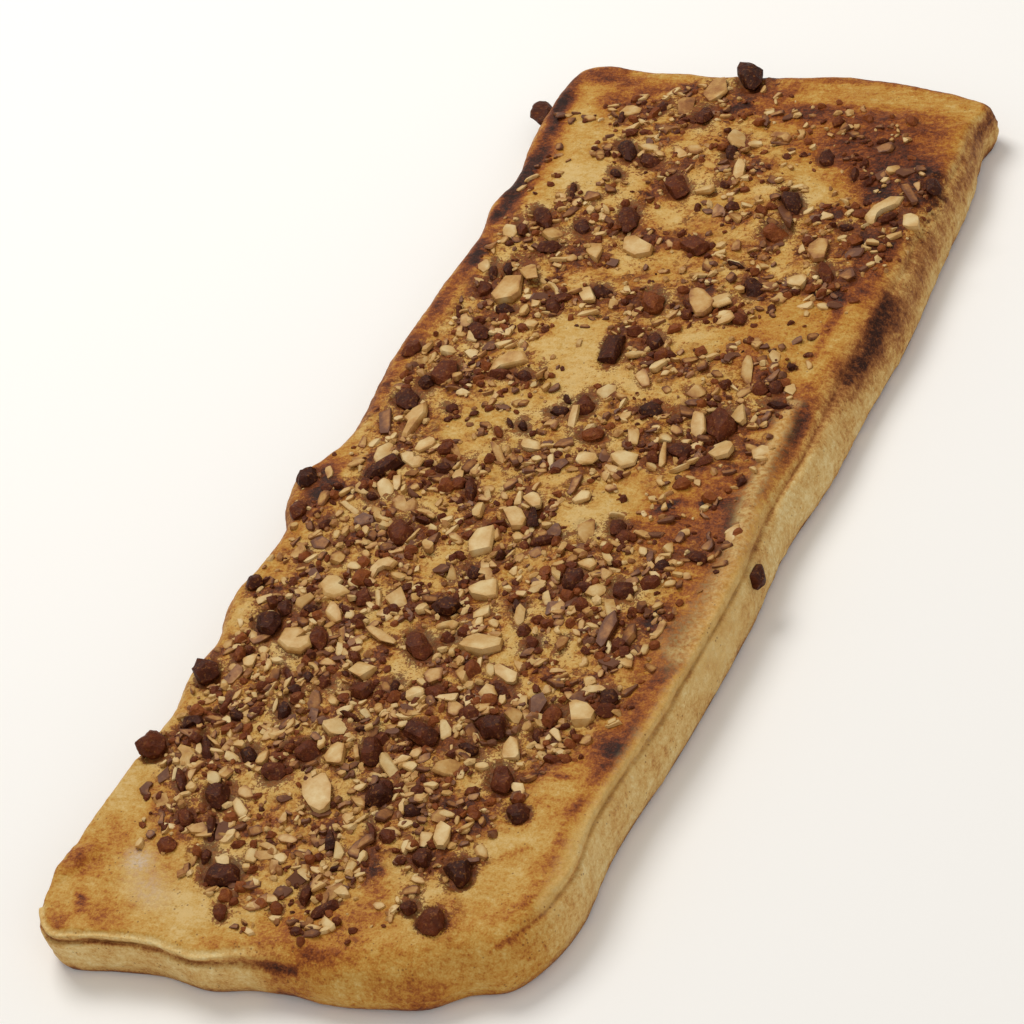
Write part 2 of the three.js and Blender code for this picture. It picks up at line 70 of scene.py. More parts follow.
# Plans of the toppings in a unit box.
PLANS = {
    "oval": [(-0.5, 0.02), (-0.36, -0.34), (-0.02, -0.5), (0.34, -0.38), (0.5, 0.03), (0.36, 0.36), (0.02, 0.5), (-0.38, 0.32)],
    "lump": [(-0.5, -0.06), (-0.3, -0.42), (0.08, -0.5), (0.4, -0.3), (0.5, 0.1), (0.3, 0.42), (-0.06, 0.5), (-0.42, 0.28)],
    "chip": [(-0.5, -0.14), (-0.14, -0.46), (0.34, -0.5), (0.5, -0.02), (0.24, 0.42), (-0.16, 0.5), (-0.4, 0.26)],
    "block": [(-0.5, -0.4), (0.06, -0.5), (0.46, -0.36), (0.5, 0.3), (0.36, 0.48), (-0.36, 0.5), (-0.48, 0.2)],
    "tri": [(-0.5, -0.38), (-0.36, -0.5), (0.36, -0.16), (0.5, 0.02), (0.3, 0.22), (-0.36, 0.5), (-0.5, 0.34)],
    "peak": [(-0.5, -0.3), (-0.2, -0.5), (0.26, -0.4), (0.5, -0.04), (0.32, 0.34), (-0.12, 0.5), (-0.42, 0.22)],
    "wedge": [(-0.5, -0.2), (-0.2, -0.5), (0.4, -0.34), (0.5, 0.12), (0.24, 0.46), (-0.16, 0.5), (-0.44, 0.2)],
    "arrow": [(-0.5, -0.3), (-0.34, -0.5), (0.2, -0.3), (0.5, 0.0), (0.2, 0.3), (-0.3, 0.5), (-0.42, 0.1)],
    "half": [(-0.48, -0.42), (0.46, -0.5), (0.5, -0.16), (0.32, 0.32), (0.02, 0.5), (-0.34, 0.34), (-0.5, 0.0)],
    "drop": [(-0.5, 0.0), (-0.2, -0.26), (0.16, -0.5), (0.42, -0.36), (0.5, 0.02), (0.4, 0.36), (0.12, 0.5), (-0.22, 0.26)],
    "lens": [(-0.5, 0.0), (-0.24, -0.38), (0.16, -0.5), (0.42, -0.24), (0.5, 0.06), (0.26, 0.4), (-0.1, 0.5), (-0.38, 0.26)],
    "shard": [(-0.5, -0.1), (-0.16, -0.5), (0.3, -0.4), (0.5, 0.24), (0.1, 0.5), (-0.34, 0.38)],
    "flake": [(-0.5, -0.12), (-0.3, -0.44), (0.16, -0.5), (0.46, -0.28), (0.5, 0.2), (0.18, 0.5), (-0.3, 0.44)],
    "star": [(-0.5, 0.1), (-0.3, -0.3), (0.1, -0.5), (0.4, -0.3), (0.5, 0.16), (0.14, 0.5), (-0.2, 0.4)],
    "heart": [(-0.5, -0.1), (-0.26, -0.5), (0.26, -0.46), (0.5, -0.06), (0.4, 0.42), (0.14, 0.5), (-0.02, 0.3), (-0.16, 0.48), (-0.42, 0.36)],
    "stick": [(-0.5, -0.3), (-0.3, -0.5), (0.46, -0.5), (0.5, 0.3), (0.3, 0.5), (-0.46, 0.46)],
    "sliver": [(-0.5, 0.0), (-0.2, -0.5), (0.3, -0.4), (0.5, 0.2), (0.2, 0.5), (-0.2, 0.4)],
    "granule": [(-0.5, 0.0), (-0.2, -0.5), (0.3, -0.4), (0.5, 0.2), (0.1, 0.5), (-0.36, 0.36)],
    "cresc": [(-0.5, -0.2), (-0.4, -0.5), (-0.18, -0.3), (0.1, -0.22), (0.32, -0.46), (0.5, -0.3), (0.42, 0.22), (0.06, 0.5), (-0.34, 0.3)],
    "notch": [(-0.5, -0.1), (-0.26, -0.5), (0.26, -0.46), (0.5, -0.06), (0.4, 0.42), (0.16, 0.5), (0.02, 0.18), (-0.14, 0.46), (-0.4, 0.36)],
    "spoon": [(-0.5, -0.16), (0.02, -0.22), (0.18, -0.5), (0.42, -0.34), (0.5, 0.04), (0.38, 0.42), (0.12, 0.5), (-0.02, 0.2), (-0.48, 0.12)],
}

# Toppings that are CAD nodes: node, kind, shape, length, width, thickness, turn.
CAD_TOPPINGS = [
    ("chocolate_chip_01", "c", "lump", 7.5, 6.1, 3.6, -18),
    ("chocolate_chip_02", "c", "lump", 9.2, 7.3, 3.9, -16),
    ("chocolate_chip_03", "c", "tri", 8.2, 6, 3.6, -57),
    ("chocolate_chip_04", "c", "lump", 9.9, 6, 3.7, 119),
    ("chocolate_chip_05", "c", "lump", 7.3, 6.5, 3.5, 1),
    ("chocolate_chip_06", "c", "lump", 8.4, 6.9, 4.5, -45),
    ("chocolate_chip_07", "c", "lump", 9.8, 5.5, 3.6, -58),
    ("chocolate_chip_08", "c", "block", 9.9, 4.8, 3.3, 111),
    ("chocolate_chip_09", "c", "lump", 9.9, 6.8, 3.9, -22),
    ("chocolate_chip_10", "c", "lump", 9.2, 6.9, 3.9, -11),
    ("chocolate_chip_11", "c", "lump", 8.6, 6.3, 4.2, 132),
    ("chocolate_chip_12", "c", "oval", 11.5, 6, 3.7, -53),
    ("chocolate_chip_13", "c", "lump", 9.9, 6.5, 3.5, 125),
    ("chocolate_chip_14", "c", "oval", 5.6, 4.4, 2.8, -40),
    ("chocolate_chip_15", "c", "lump", 7.6, 6.2, 3.1, -29),
    ("chocolate_chip_16", "c", "lump", 7, 6.5, 3.1, 69),
    ("chocolate_chip_17", "c", "lump", 9.7, 6.8, 3.4, -52),
    ("chocolate_chip_18", "c", "lump", 8.4, 4.2, 3.4, 101),
    ("chocolate_chip_19", "c", "block", 12.5, 5.8, 3.7, 59),
    ("chocolate_chip_20", "c", "chip", 9.1, 6.2, 2.9, -29),
    ("chocolate_chip_21", "c", "lump", 13.1, 8.2, 3.9, 115),
    ("chocolate_chip_22", "c", "block", 10.3, 6.5, 3.2, 95),
    ("chocolate_chip_23", "c", "block", 13.8, 5.7, 3.5, 99),
    ("chocolate_chip_24", "c", "lump", 12.8, 6.6, 3.5, 112),
    ("chocolate_chip_25", "c", "block", 10.9, 6.3, 3.1, -35),
    ("chocolate_chip_26", "c", "chip", 11.3, 5.8, 2.8, -53),
    ("chocolate_chip_27", "c", "lump", 13, 5.8, 3.1, 110),
    ("chocolate_chip_28", "c", "chip", 12.8, 5.3, 3, -57),
    ("chocolate_chip_29", "c", "block", 12.4, 6.3, 3.1, -58),
    ("chocolate_chip_30", "c", "chip", 14.1, 5.3, 2.9, -54),
    ("chocolate_chip_31", "c", "lump", 12.4, 7.3, 3.9, 120),
    ("chocolate_chip_32", "c", "peak", 14.1, 7.7, 4.4, -65),
    ("almond_piece_01", "a", "wedge", 10.2, 4.4, 1.9, 101),
    ("almond_piece_02", "a", "half", 11.1, 7.8, 2.2, 116),
    ("almond_piece_03", "a", "half", 8.4, 5.4, 1.8, 119),
    ("almond_piece_04", "a", "wedge", 9.3, 6.1, 2, -38),
    ("almond_piece_05", "a", "block", 8.5, 5.6, 1.8, -10),
    ("almond_piece_06", "a", "notch", 11.1, 8.1, 2.2, -42),
    ("almond_piece_07", "a", "lens", 12.8, 3.8, 1.8, -23),
    ("almond_piece_08", "a", "flake", 10.7, 8.3, 2.2, 17),
    ("almond_piece_09", "b", "lens", 13.1, 4, 1.9, 92),
    ("almond_piece_10", "a", "notch", 9.2, 6.5, 1.9, -51),
    ("almond_piece_11", "a", "half", 9.1, 6.5, 1.9, 117),
    ("almond_piece_12", "a", "cresc", 8.7, 5.9, 1.7, 54),
    ("almond_piece_13", "a", "half", 13.9, 6.1, 2.2, 109),
    ("almond_piece_14", "a", "wedge", 11.3, 5.6, 1.9, -52),
    ("almond_piece_15", "a", "wedge", 7, 6.3, 1.6, 83),
    ("almond_piece_16", "a", "spoon", 14.2, 7.4, 2.2, 91),
    ("almond_piece_17", "a", "cresc", 11.3, 7.7, 2.1, 25),
    ("almond_piece_18", "a", "wedge", 14.8, 8.1, 2.2, 99),
    ("almond_piece_19", "a", "drop", 16.3, 7.3, 2.2, -58),
    ("almond_piece_20", "a", "wedge", 7.9, 6, 1.5, -34),
    ("almond_piece_21", "a", "drop", 11.8, 5.4, 1.6, 113),
    ("almond_piece_22", "a", "wedge", 12.2, 7.9, 2, -38),
    ("almond_piece_23", "a", "wedge", 12.4, 6.2, 1.9, 106),
    ("almond_piece_24", "a", "star", 10, 6.2, 1.7, -50),
    ("almond_piece_25", "a", "cresc", 13.4, 6.9, 2.1, 61),
]
# The smaller ones between them: kind, shape, x, y, z, length, width, thickness, turn.
MORE_TOPPINGS = [
    ("c", "oval", -24.4, 127.9, 16.6, 8.3, 5.9, 2.5, -28),
    ("c", "shard", -32.5, 120.2, 17.2, 5.7, 2.7, 1.9, -45),
    ("c", "shard", -39.5, 130.9, 16.7, 2.9, 2.4, 1.9, 19),
    ("c", "shard", -41.9, 110.7, 17.3, 8.6, 2.3, 1.9, 107),
    ("c", "lump", -32.5, 94.9, 16.3, 7, 4.8, 2.1, -56),
    ("c", "oval", -38, 83.6, 16.8, 7.9, 4.9, 2.4, 33),
    ("c", "shard", -33.4, 158.5, 14.4, 6.7, 4.3, 1.9, 87),
    ("c", "lump", -18.3, 154.3, 15.2, 11.2, 5.7, 2.7, 104),
    ("c", "shard", -2.1, 135, 16.8, 9.3, 4.2, 2.2, 105),
    ("c", "chip", -26.7, 58.2, 17, 9.7, 4.4, 2.4, -53),
    ("c", "lump", -15, 66.3, 16.4, 6.9, 4.8, 2.2, -34),
    ("c", "lump", 24.8, 97.4, 17.4, 8.9, 6.9, 3, -51),
    ("c", "lump", 26.9, 72.3, 17.1, 8.5, 5.4, 2.6, -63),
    ("c", "shard", 18.9, 82.3, 16.7, 8.4, 1.9, 1.9, -26),
    ("c", "shard", 12.5, 62.6, 17, 9.2, 2.5, 1.9, -46),
    ("c", "oval", 28.1, 58.4, 17.7, 5.8, 4.4, 2, -54),
    ("c", "stick", -43.7, 152.5, 14.6, 8, 2.1, 1.9, 106),
    ("c", "shard", 1.9, 118.9, 16.7, 4.5, 2.1, 1.9, -23),
    ("a", "wedge", -20, 169.5, 13.9, 15, 7.2, 1.9, 105),
    ("a", "wedge", -25.8, 159.5, 14.4, 9.4, 6.5, 1.5, 97),
    ("a", "lens", -42.4, 155.7, 14.3, 8.6, 5.7, 1.3, 49),
    ("a", "lens", -37.5, 145.4, 15.1, 7.2, 4.5, 1.1, 48),
    ("a", "lens", -27.6, 135.1, 16.1, 7, 3.9, 1.1, 17),
    ("a", "lens", -16.8, 132.7, 16.3, 11, 2.7, 1.1, -51),
    ("a", "wedge", -3, 142.4, 16.1, 11.5, 6.3, 1.6, -55),
    ("a", "oval", 3.4, 126.8, 16.9, 9, 4.8, 1.3, 115),
    ("a", "wedge", -3.5, 116, 16.3, 8.7, 5.5, 1.4, -17),
    ("b", "oval", -34.6, 108, 16.9, 6.6, 5.2, 1.2, -3),
    ("b", "oval", -31, 112.3, 16.9, 5.1, 3.6, 1.1, -50),
    ("a", "oval", -40, 89.8, 16.6, 9, 6.1, 1.5, 70),
    ("b", "lens", -38.8, 100.6, 16.6, 8.7, 2.3, 1.1, 71),
    ("a", "heart", 20.2, 66.1, 17.1, 10.3, 7, 1.8, -62),
    ("a", "wedge", -40.1, 72.7, 16.9, 18.4, 5.6, 2.1, -54),
    ("a", "shard", -18.1, 63.5, 16.5, 8.2, 5, 1.3, -48),
    ("a", "lens", -15, 56.1, 16.9, 8.8, 3.1, 1.2, 0),
    ("a", "granule", 17.2, 122, 17.1, 4, 3.2, 1.1, -39),
    ("a", "oval", 11.3, 103.3, 16.8, 5.8, 4.1, 1.1, -56),
    ("b", "lens", 1.4, 153.9, 14.9, 10.7, 2.3, 1.1, -65),
    ("a", "lens", 17.1, 84.1, 16.6, 7.5, 1.1, 1.1, -21),
    ("a", "cresc", -29.1, 65.9, 16.5, 9, 2.3, 1.1, -45),
    ("c", "oval", 45.9, 155.8, 15.6, 5, 3.4, 1.9, -65),
    ("c", "lump", 27.2, 134, 17, 7.5, 5, 2.2, -62),
    ("c", "oval", 37.9, 127.5, 16.7, 6.2, 2.5, 1.9, 105),
    ("c", "lump", 62.3, 123.5, 17.2, 8.2, 5.5, 3.2, 97),
    ("c", "chip", 45.4, 80.5, 17.8, 10.2, 4.1, 2.5, -56),
    ("b", "oval", 51.9, 79.5, 17.8, 7.3, 5.9, 1.4, -47),
    ("c", "lump", 43.3, 102.5, 16.9, 4.3, 3.2, 1.9, -6),
    ("c", "shard", 54, 107.6, 16.8, 6.4, 3.7, 1.9, 55),
    ("b", "shard", 56.8, 118.9, 17, 23.7, 2.5, 1.6, -59),
    ("b", "lens", 24.8, 105.6, 17.3, 16.9, 3.6, 1.6, -61),
    ("a", "oval", 36.7, 106.6, 16.8, 4.2, 3.5, 1.1, 0),
    ("a", "cresc", 9.6, 145, 15.9, 9.1, 3.8, 1.2, -30),
    ("b", "lens", 42.5, 140.7, 16.7, 7.6, 4.2, 1.2, 12),
    ("a", "lens", 58.1, 99.5, 17.2, 7, 3.9, 1.1, 28),
    ("b", "oval", 27.1, 151.1, 16.3, 6.9, 3.5, 1.1, 109),
    ("b", "oval", 31.5, 146.9, 16.6, 5, 3.4, 1.1, -61),
    ("b", "granule", 15.5, 121.8, 17, 4.9, 3.6, 1.1, -55),
    ("c", "oval", -39.7, 54.8, 16.2, 5.9, 3.7, 1.9, -1),
    ("c", "oval", -50.1, 70.6, 16.9, 7.6, 2.6, 1.9, 109),
    ("c", "chip", -49.8, 63.9, 16.4, 6.8, 4.7, 2.1, -53),
    ("c", "shard", -46.3, 72.7, 17.1, 5.9, 2.7, 1.9, 98),
    ("c", "chip", -50, 91.4, 17.1, 9.2, 3.4, 2, -54),
    ("a", "shard", -52.8, 89.2, 17.1, 9.8, 4.4, 1.3, 114),
    ("c", "stick", -53.5, 53.5, 15.5, 7.5, 1.6, 1.9, 111),
    ("c", "lump", -44.4, 46.3, 15.7, 10.8, 5.2, 2.8, -43),
    ("a", "oval", -45.1, 43.6, 15.3, 6.4, 4, 1.1, 103),
    ("a", "oval", -42, 36.7, 15.4, 5, 3.8, 1.1, -23),
    ("a", "shard", -49.9, 37.6, 14.9, 6.4, 5.4, 1.3, 113),
    ("a", "shard", -41.5, 26, 15.5, 6.8, 3.1, 1.1, 112),
    ("c", "oval", -29.6, 28.4, 16.6, 8.6, 4.4, 2.5, -4),
    ("a", "lens", -33.7, 41, 16.3, 6.2, 2.9, 1.1, 33),
    ("a", "lens", -17.7, 29.2, 17, 10.3, 3.1, 1.2, 105),
    ("a", "oval", 3.6, 24.1, 17.4, 6.4, 5.2, 1.3, -52),
    ("a", "lens", 5.4, 40, 17.4, 7.7, 4, 1.3, 51),
    ("c", "lump", 8.3, 46, 17.5, 7, 5, 2.3, -57),
    ("a", "wedge", 11.1, 30.6, 17.4, 9.2, 3.5, 1.3, -51),
    ("a", "lens", 13.3, 36, 17.4, 7.2, 4.3, 1.3, 56),
    ("a", "stick", -0.9, 11.2, 17.2, 9.9, 2.3, 1.1, 99),
    ("c", "shard", -5.9, 14.3, 17.1, 6.1, 3.8, 2, 2),
    ("c", "shard", -6.4, 19.7, 17.1, 5.9, 1.6, 1.9, -49),
    ("c", "lump", 0, 18.1, 17.4, 8.1, 4.8, 2.5, 105),
    ("c", "oval", -13.9, 7.8, 16.9, 5, 2.6, 1.9, -51),
    ("c", "lens", -17.7, 7.9, 16.8, 5.4, 1.6, 1.9, -48),
    ("a", "oval", -33.9, 55.6, 16.5, 6.9, 3.2, 1.1, 109),
    ("a", "oval", -29.4, 49, 16.8, 5.6, 4, 1.1, -49),
    ("a", "cresc", -6, 8.9, 17.1, 4.1, 3.2, 1.1, -21),
    ("c", "lump", 18, 18.5, 17.2, 6.8, 4.4, 2.3, 1),
    ("b", "oval", 27.4, 12.4, 16.2, 6.5, 3.1, 1.1, -41),
    ("a", "wedge", 27.2, 28, 16.6, 7.1, 4.5, 1.3, -25),
    ("a", "shard", 32.5, 15.1, 16, 10.2, 4.5, 1.6, 106),
    ("a", "tri", 42.1, 20.4, 15.9, 10.9, 4.8, 1.7, -50),
    ("a", "half", 41.8, 7.1, 16.1, 10.1, 7.4, 2.1, -53),
    ("a", "oval", 26.5, -2.3, 16.3, 4.3, 2.8, 1.1, -61),
    ("a", "stick", 27.9, 1.9, 16.3, 10.3, 1.8, 1.1, 109),
    ("a", "oval", 26.2, 8.5, 16.3, 4.5, 3.5, 1.1, -48),
    ("a", "oval", 40.2, 26.4, 16, 3.1, 2.5, 1.1, -50),
    ("a", "wedge", 38, 38.3, 16.9, 10.8, 3.7, 1.4, 109),
    ("a", "lens", 36.8, 31.3, 16.4, 4.5, 1.1, 1.1, -33),
    ("b", "lens", 26.7, 20.3, 16.4, 8, 4.5, 1.4, -16),
    ("b", "oval", 25.1, 38.4, 17.1, 6.4, 3.9, 1.1, -62),
    ("b", "stick", 21.2, 39.8, 17.3, 5.3, 2.2, 1.1, 42),
    ("c", "chip", 47.3, 33, 16.6, 5.4, 4.5, 2.1, -47),
    ("c", "shard", 50.4, 26.3, 16.3, 7, 2.7, 2, 0),
    ("c", "oval", 48.8, 41.5, 17, 3.3, 2.8, 1.9, -17),
    ("c", "oval", 51.6, -4.6, 16.9, 4.7, 2.6, 1.9, 101),
    ("c", "lump", -60.7, 36.6, 15.2, 7.1, 5.3, 3.1, 72),
    ("b", "shard", -44, 22.3, 15.5, 3.4, 2.4, 1.1, -51),
    ("c", "lump", -49.9, 23.1, 15.2, 7.6, 4.4, 2.2, 119),
    ("b", "stick", -53.3, 4.7, 15.7, 13.8, 3.3, 1.5, 115),
    ("a", "drop", -47.5, -8.9, 16.7, 11.3, 4.7, 1.6, 103),
    ("a", "wedge", -37.7, -3.5, 16.5, 7.1, 5.3, 1.4, 31),
    ("a", "notch", -38.5, -10, 16.7, 8.9, 4, 1.4, -28),
    ("c", "oval", -33.5, -10.5, 16.7, 3, 2.3, 1.9, 0),
    ("c", "oval", -28, -7.2, 16.7, 3.9, 2.8, 1.9, -2),
    ("c", "lump", -29.4, -11.9, 16.7, 6.8, 4.1, 2.3, 22),
    ("a", "stick", -14.8, -5.6, 17.1, 11.2, 2.6, 1.2, -52),
    ("b", "stick", -11.2, -5.2, 17.2, 11.6, 1.8, 1.1, -51),
    ("a", "oval", -8.5, -0, 17.3, 8.4, 5.4, 1.5, -33),
    ("a", "oval", -4.3, -5.1, 17.3, 3.4, 2.7, 1.1, -20),
    ("a", "oval", -0, -5.9, 17.3, 6.6, 2.1, 1.1, 108),
    ("a", "wedge", 8.1, -3.2, 17.1, 8.7, 5, 1.6, -7),
    ("c", "oval", -19.6, 4.2, 16.8, 5.5, 2.1, 1.9, -52),
    ("c", "shard", -22.1, 27.5, 16.9, 5.1, 4, 1.9, -36),
    ("c", "lens", -17.7, -18.1, 16.7, 10.3, 3.3, 2.4, -62),
    ("b", "stick", -22.1, -9.5, 16.7, 7.4, 2.5, 1.1, 90),
    ("b", "lens", -7.5, -15.2, 17, 6.8, 3.4, 1.1, 77),
    ("a", "wedge", 0.8, -20, 16.9, 10.9, 4.4, 1.6, -48),
    ("a", "oval", -3, -19.8, 16.8, 5.8, 2.5, 1.1, 104),
    ("c", "tri", 3.2, -25.8, 16.8, 8, 3.9, 2.4, 110),
    ("a", "oval", -12.2, -26.1, 16.3, 6.9, 4.9, 1.4, 105),
    ("c", "cresc", -5.3, -29.6, 16.3, 5.8, 1.6, 1.9, 10),
    ("a", "oval", -4, -32.9, 16, 3.6, 2.1, 1.1, 115),
    ("a", "oval", 2.3, -33.7, 16.2, 5.3, 2.8, 1.1, -52),
    ("c", "shard", 9.7, -34, 16.9, 8.5, 3, 2.5, 24),
    ("a", "oval", 7.9, -28.3, 16.7, 3.8, 3, 1.1, -15),
    ("a", "stick", 15.9, -36.1, 17, 6.8, 2.1, 1.1, 104),
    ("a", "oval", -40.4, -22.7, 16.9, 8.3, 3.9, 1.3, -53),
    ("a", "notch", -32.7, -26.7, 16.6, 7.6, 5, 1.5, -4),
    ("a", "stick", -37.9, -20.6, 16.8, 6.3, 2.2, 1.1, 111),
    ("c", "shard", -25.6, -31.2, 16.4, 5.6, 2.2, 1.9, 1),
    ("a", "sliver", -25.2, -37.1, 16.2, 10.7, 1.1, 1.1, 82),
    ("a", "cresc", -25.6, -28.7, 16.3, 7.4, 2.7, 1.1, -24),
    ("a", "oval", -21.9, -33.7, 16.1, 3.1, 2.4, 1.1, -38),
    ("a", "wedge", -20.3, -39.8, 15.9, 7.9, 3.5, 1.3, -53),
    ("b", "oval", -35.8, -39.8, 16.6, 4.8, 2.7, 1.1, 113),
    ("a", "shard", -44, -39.2, 16.6, 6.5, 2.1, 1.1, 111),
    ("a", "shard", -45.5, -40.9, 16.6, 4.6, 2.6, 1.1, 120),
    ("a", "oval", -41.3, -49.3, 16.7, 6.2, 4.5, 1.3, 101),
    ("a", "wedge", -35.5, -51.8, 16.7, 4.5, 2.8, 1.1, -18),
    ("a", "oval", -34.8, -46.2, 16.6, 5, 2, 1.1, -47),
    ("a", "oval", -22.6, -52.3, 16.2, 6.3, 3, 1.1, -21),
    ("c", "oval", -42.8, -25.6, 17, 4.1, 3.2, 1.9, -40),
    ("a", "stick", -47, -30.5, 16.8, 9.9, 1.7, 1.1, -25),
    ("c", "shard", -37.1, 12.8, 16.3, 4, 3.2, 1.9, -29),
    ("a", "tri", -0.4, -43.9, 15.5, 3.4, 3.1, 1.1, -18),
    ("c", "lump", -0, -40.1, 15.8, 4.1, 3.1, 1.9, 97),
    ("a", "oval", -9.8, -48.4, 15.3, 6.7, 3.6, 1.2, 103),
    ("b", "stick", 9.5, -13, 16.8, 8.2, 2.6, 1.1, 93),
    ("a", "wedge", 13, -16.6, 16.7, 5.1, 4.6, 1.2, 8),
    ("c", "lump", 6.2, 6.6, 17.4, 7.5, 5.1, 2.6, -22),
    ("a", "shard", 17.7, 7, 16.8, 6.1, 4.1, 1.2, -58),
    ("c", "block", 25, 1.7, 16.5, 5.5, 3.1, 1.9, 111),
    ("c", "lump", 31.3, 5.2, 16.4, 7, 5.9, 2.8, -28),
    ("b", "oval", 12.9, -0.6, 16.8, 5, 3.2, 1.1, 115),
    ("a", "stick", 25.8, -33.7, 17.3, 3.7, 1.5, 1.1, 100),
    ("a", "stick", 29.1, -38.6, 17.5, 8.1, 2.2, 1.1, -50),
    ("a", "tri", 25.2, -41.5, 17.5, 5.5, 5.1, 1.3, -40),
    ("a", "oval", 30.9, -44.2, 17.6, 5, 2.7, 1.1, 113),
    ("a", "wedge", 30.5, -50, 17.5, 6.3, 4.2, 1.3, 44),
    ("b", "oval", 51.5, -28.5, 16.6, 4.6, 3.9, 1.1, 88),
    ("c", "block", 26.7, -26.1, 17.1, 7.1, 4.3, 2.4, 113),
    ("a", "cresc", 24.5, -21.3, 16.7, 4.8, 2.4, 1.1, 15),
    ("c", "lump", 50.7, -33.2, 16.7, 6.3, 3.3, 2.1, -22),
    ("c", "lump", 43, -38.3, 17.1, 4.4, 3.9, 1.9, 17),
    ("a", "oval", 42.4, -32, 16.7, 4, 3.1, 1.1, -52),
    ("c", "lump", 36.6, -48.6, 17.8, 6.8, 5.6, 2.8, -44),
    ("a", "oval", 39.3, -50.3, 17.5, 4.1, 1.8, 1.1, -34),
    ("a", "oval", 39.7, -47.3, 17.5, 2.4, 2.1, 1.1, -30),
    ("a", "half", 19.4, -30, 17.2, 9.4, 5.5, 1.8, 116),
    ("c", "lump", -64.6, -20.7, 17.5, 7.5, 6.1, 3.6, 114),
    ("c", "lump", -61.3, -32.9, 17.3, 7.9, 5.3, 3.4, 120),
    ("c", "oval", -51.1, -49.7, 16.6, 5.7, 3.4, 1.9, 106),
    ("c", "shard", -50.7, -37.9, 16.6, 4.6, 3.9, 1.9, 45),
    ("b", "wedge", -48.4, -44.4, 16.5, 7.1, 3.8, 1.2, -20),
    ("a", "oval", -32.7, -58.1, 16.8, 4.4, 2.2, 1.1, -30),
    ("a", "oval", -30.9, -62.6, 16.7, 5.7, 2.7, 1.1, -48),
    ("a", "wedge", -42.4, -66.2, 17.1, 6.7, 4.2, 1.3, 72),
    ("c", "lump", -28.2, -62.2, 16.8, 7, 4.3, 2.4, 119),
    ("a", "stick", -24.1, -61.1, 16.4, 9.3, 1.5, 1.1, 114),
    ("a", "shard", -19.6, -60.5, 16.3, 8.7, 4.9, 1.6, -43),
    ("a", "shard", -33, -68.7, 16.9, 9.1, 4.2, 1.5, -56),
    ("a", "oval", -28.7, -68.4, 16.6, 3.5, 2.7, 1.1, -28),
    ("a", "oval", -25.6, -66.6, 16.5, 2.2, 1.9, 1.1, 44),
    ("a", "oval", -49.4, -71.7, 17, 2.9, 2.7, 1.1, 125),
    ("c", "block", -46.1, -69.6, 17.3, 6.2, 3.9, 2.1, 117),
    ("b", "shard", -39.4, -73.3, 17, 5.7, 2.8, 1.1, -38),
    ("c", "shard", -39.4, -68.7, 17.2, 4.1, 3.3, 1.9, -15),
    ("c", "lump", -32.6, -77.9, 17, 8.6, 4.9, 2.9, 111),
    ("a", "lens", -53, -67.4, 16.9, 5.2, 2.9, 1.1, 31),
    ("b", "oval", -27.6, -74.7, 16.5, 6.5, 2.3, 1.1, 115),
    ("a", "oval", -25.7, -80.4, 16.5, 4.5, 2.5, 1.1, 117),
    ("a", "oval", -26.1, -85.2, 16.6, 5.3, 3.4, 1.1, -10),
    ("c", "block", -13.7, -92.9, 17.1, 7.1, 5.3, 2.9, -18),
    ("a", "wedge", -12.3, -61.9, 16.1, 6.6, 4.2, 1.3, 123),
    ("a", "cresc", -2.6, -66.3, 16.3, 6, 4, 1.2, 0),
    ("c", "shard", 0, -71.7, 16.8, 4.2, 3.6, 1.9, 89),
    ("a", "cresc", 3.5, -76.3, 17.1, 8.2, 2.3, 1.1, 108),
    ("a", "oval", 4.6, -60.7, 16, 6.8, 4.9, 1.5, 44),
    ("c", "lump", -4.4, -46.8, 15.4, 5, 3.7, 1.9, -52),
    ("a", "wedge", 2.5, -85.2, 17.4, 6.1, 4.7, 1.4, 85),
    ("c", "block", 5.3, -90.1, 17.6, 5.4, 4.5, 2.3, -28),
    ("c", "oval", -37.7, -94.2, 16.7, 3.7, 2, 1.9, 24),
    ("c", "stick", -34.2, -91.6, 16.8, 8.6, 1.7, 1.9, -44),
    ("a", "sliver", -36.5, -96.7, 16.6, 8, 1.1, 1.1, 75),
    ("c", "shard", -30.6, -95.9, 16.9, 4.4, 3.5, 1.9, -38),
    ("c", "lump", -24.4, -91.9, 16.9, 4.7, 3.6, 1.9, -46),
    ("c", "lump", -29, -91.4, 16.9, 3.9, 2.9, 1.9, 129),
    ("a", "oval", 18.7, -53.4, 16.6, 5.7, 2.8, 1.1, 111),
    ("a", "stick", 22.7, -54, 16.9, 5.2, 1.1, 1.1, 105),
    ("a", "stick", 26.8, -55.9, 17, 3.6, 1.4, 1.1, 40),
    ("a", "oval", 31.2, -57, 17.1, 5.6, 3, 1.1, -48),
    ("a", "oval", 35.3, -57.4, 17.1, 2.6, 1.7, 1.1, -4),
    ("a", "lens", 34, -61.6, 16.8, 4.4, 1.7, 1.1, -2),
    ("a", "oval", 14.7, -61.3, 16.3, 8.7, 3.3, 1.4, 109),
    ("c", "tri", 11.9, -56.7, 16.2, 5.1, 3.2, 1.9, 116),
    ("a", "oval", 40.9, -67.3, 16.4, 4, 2.3, 1.1, 99),
    ("b", "oval", 44.4, -62.7, 17, 10.2, 4.4, 1.7, 108),
    ("c", "oval", 21.6, -69.3, 16.6, 4.1, 3.5, 1.9, 85),
    ("b", "wedge", 28.7, -68.1, 16.4, 7.2, 3.4, 1.3, 85),
    ("a", "wedge", 20, -81.3, 17.1, 10, 4.3, 1.7, -36),
    ("c", "tri", 9.8, -80.1, 17.4, 3.5, 3, 1.9, -33),
    ("c", "shard", 20.5, -86.5, 17.2, 7.9, 2.9, 2.3, -29),
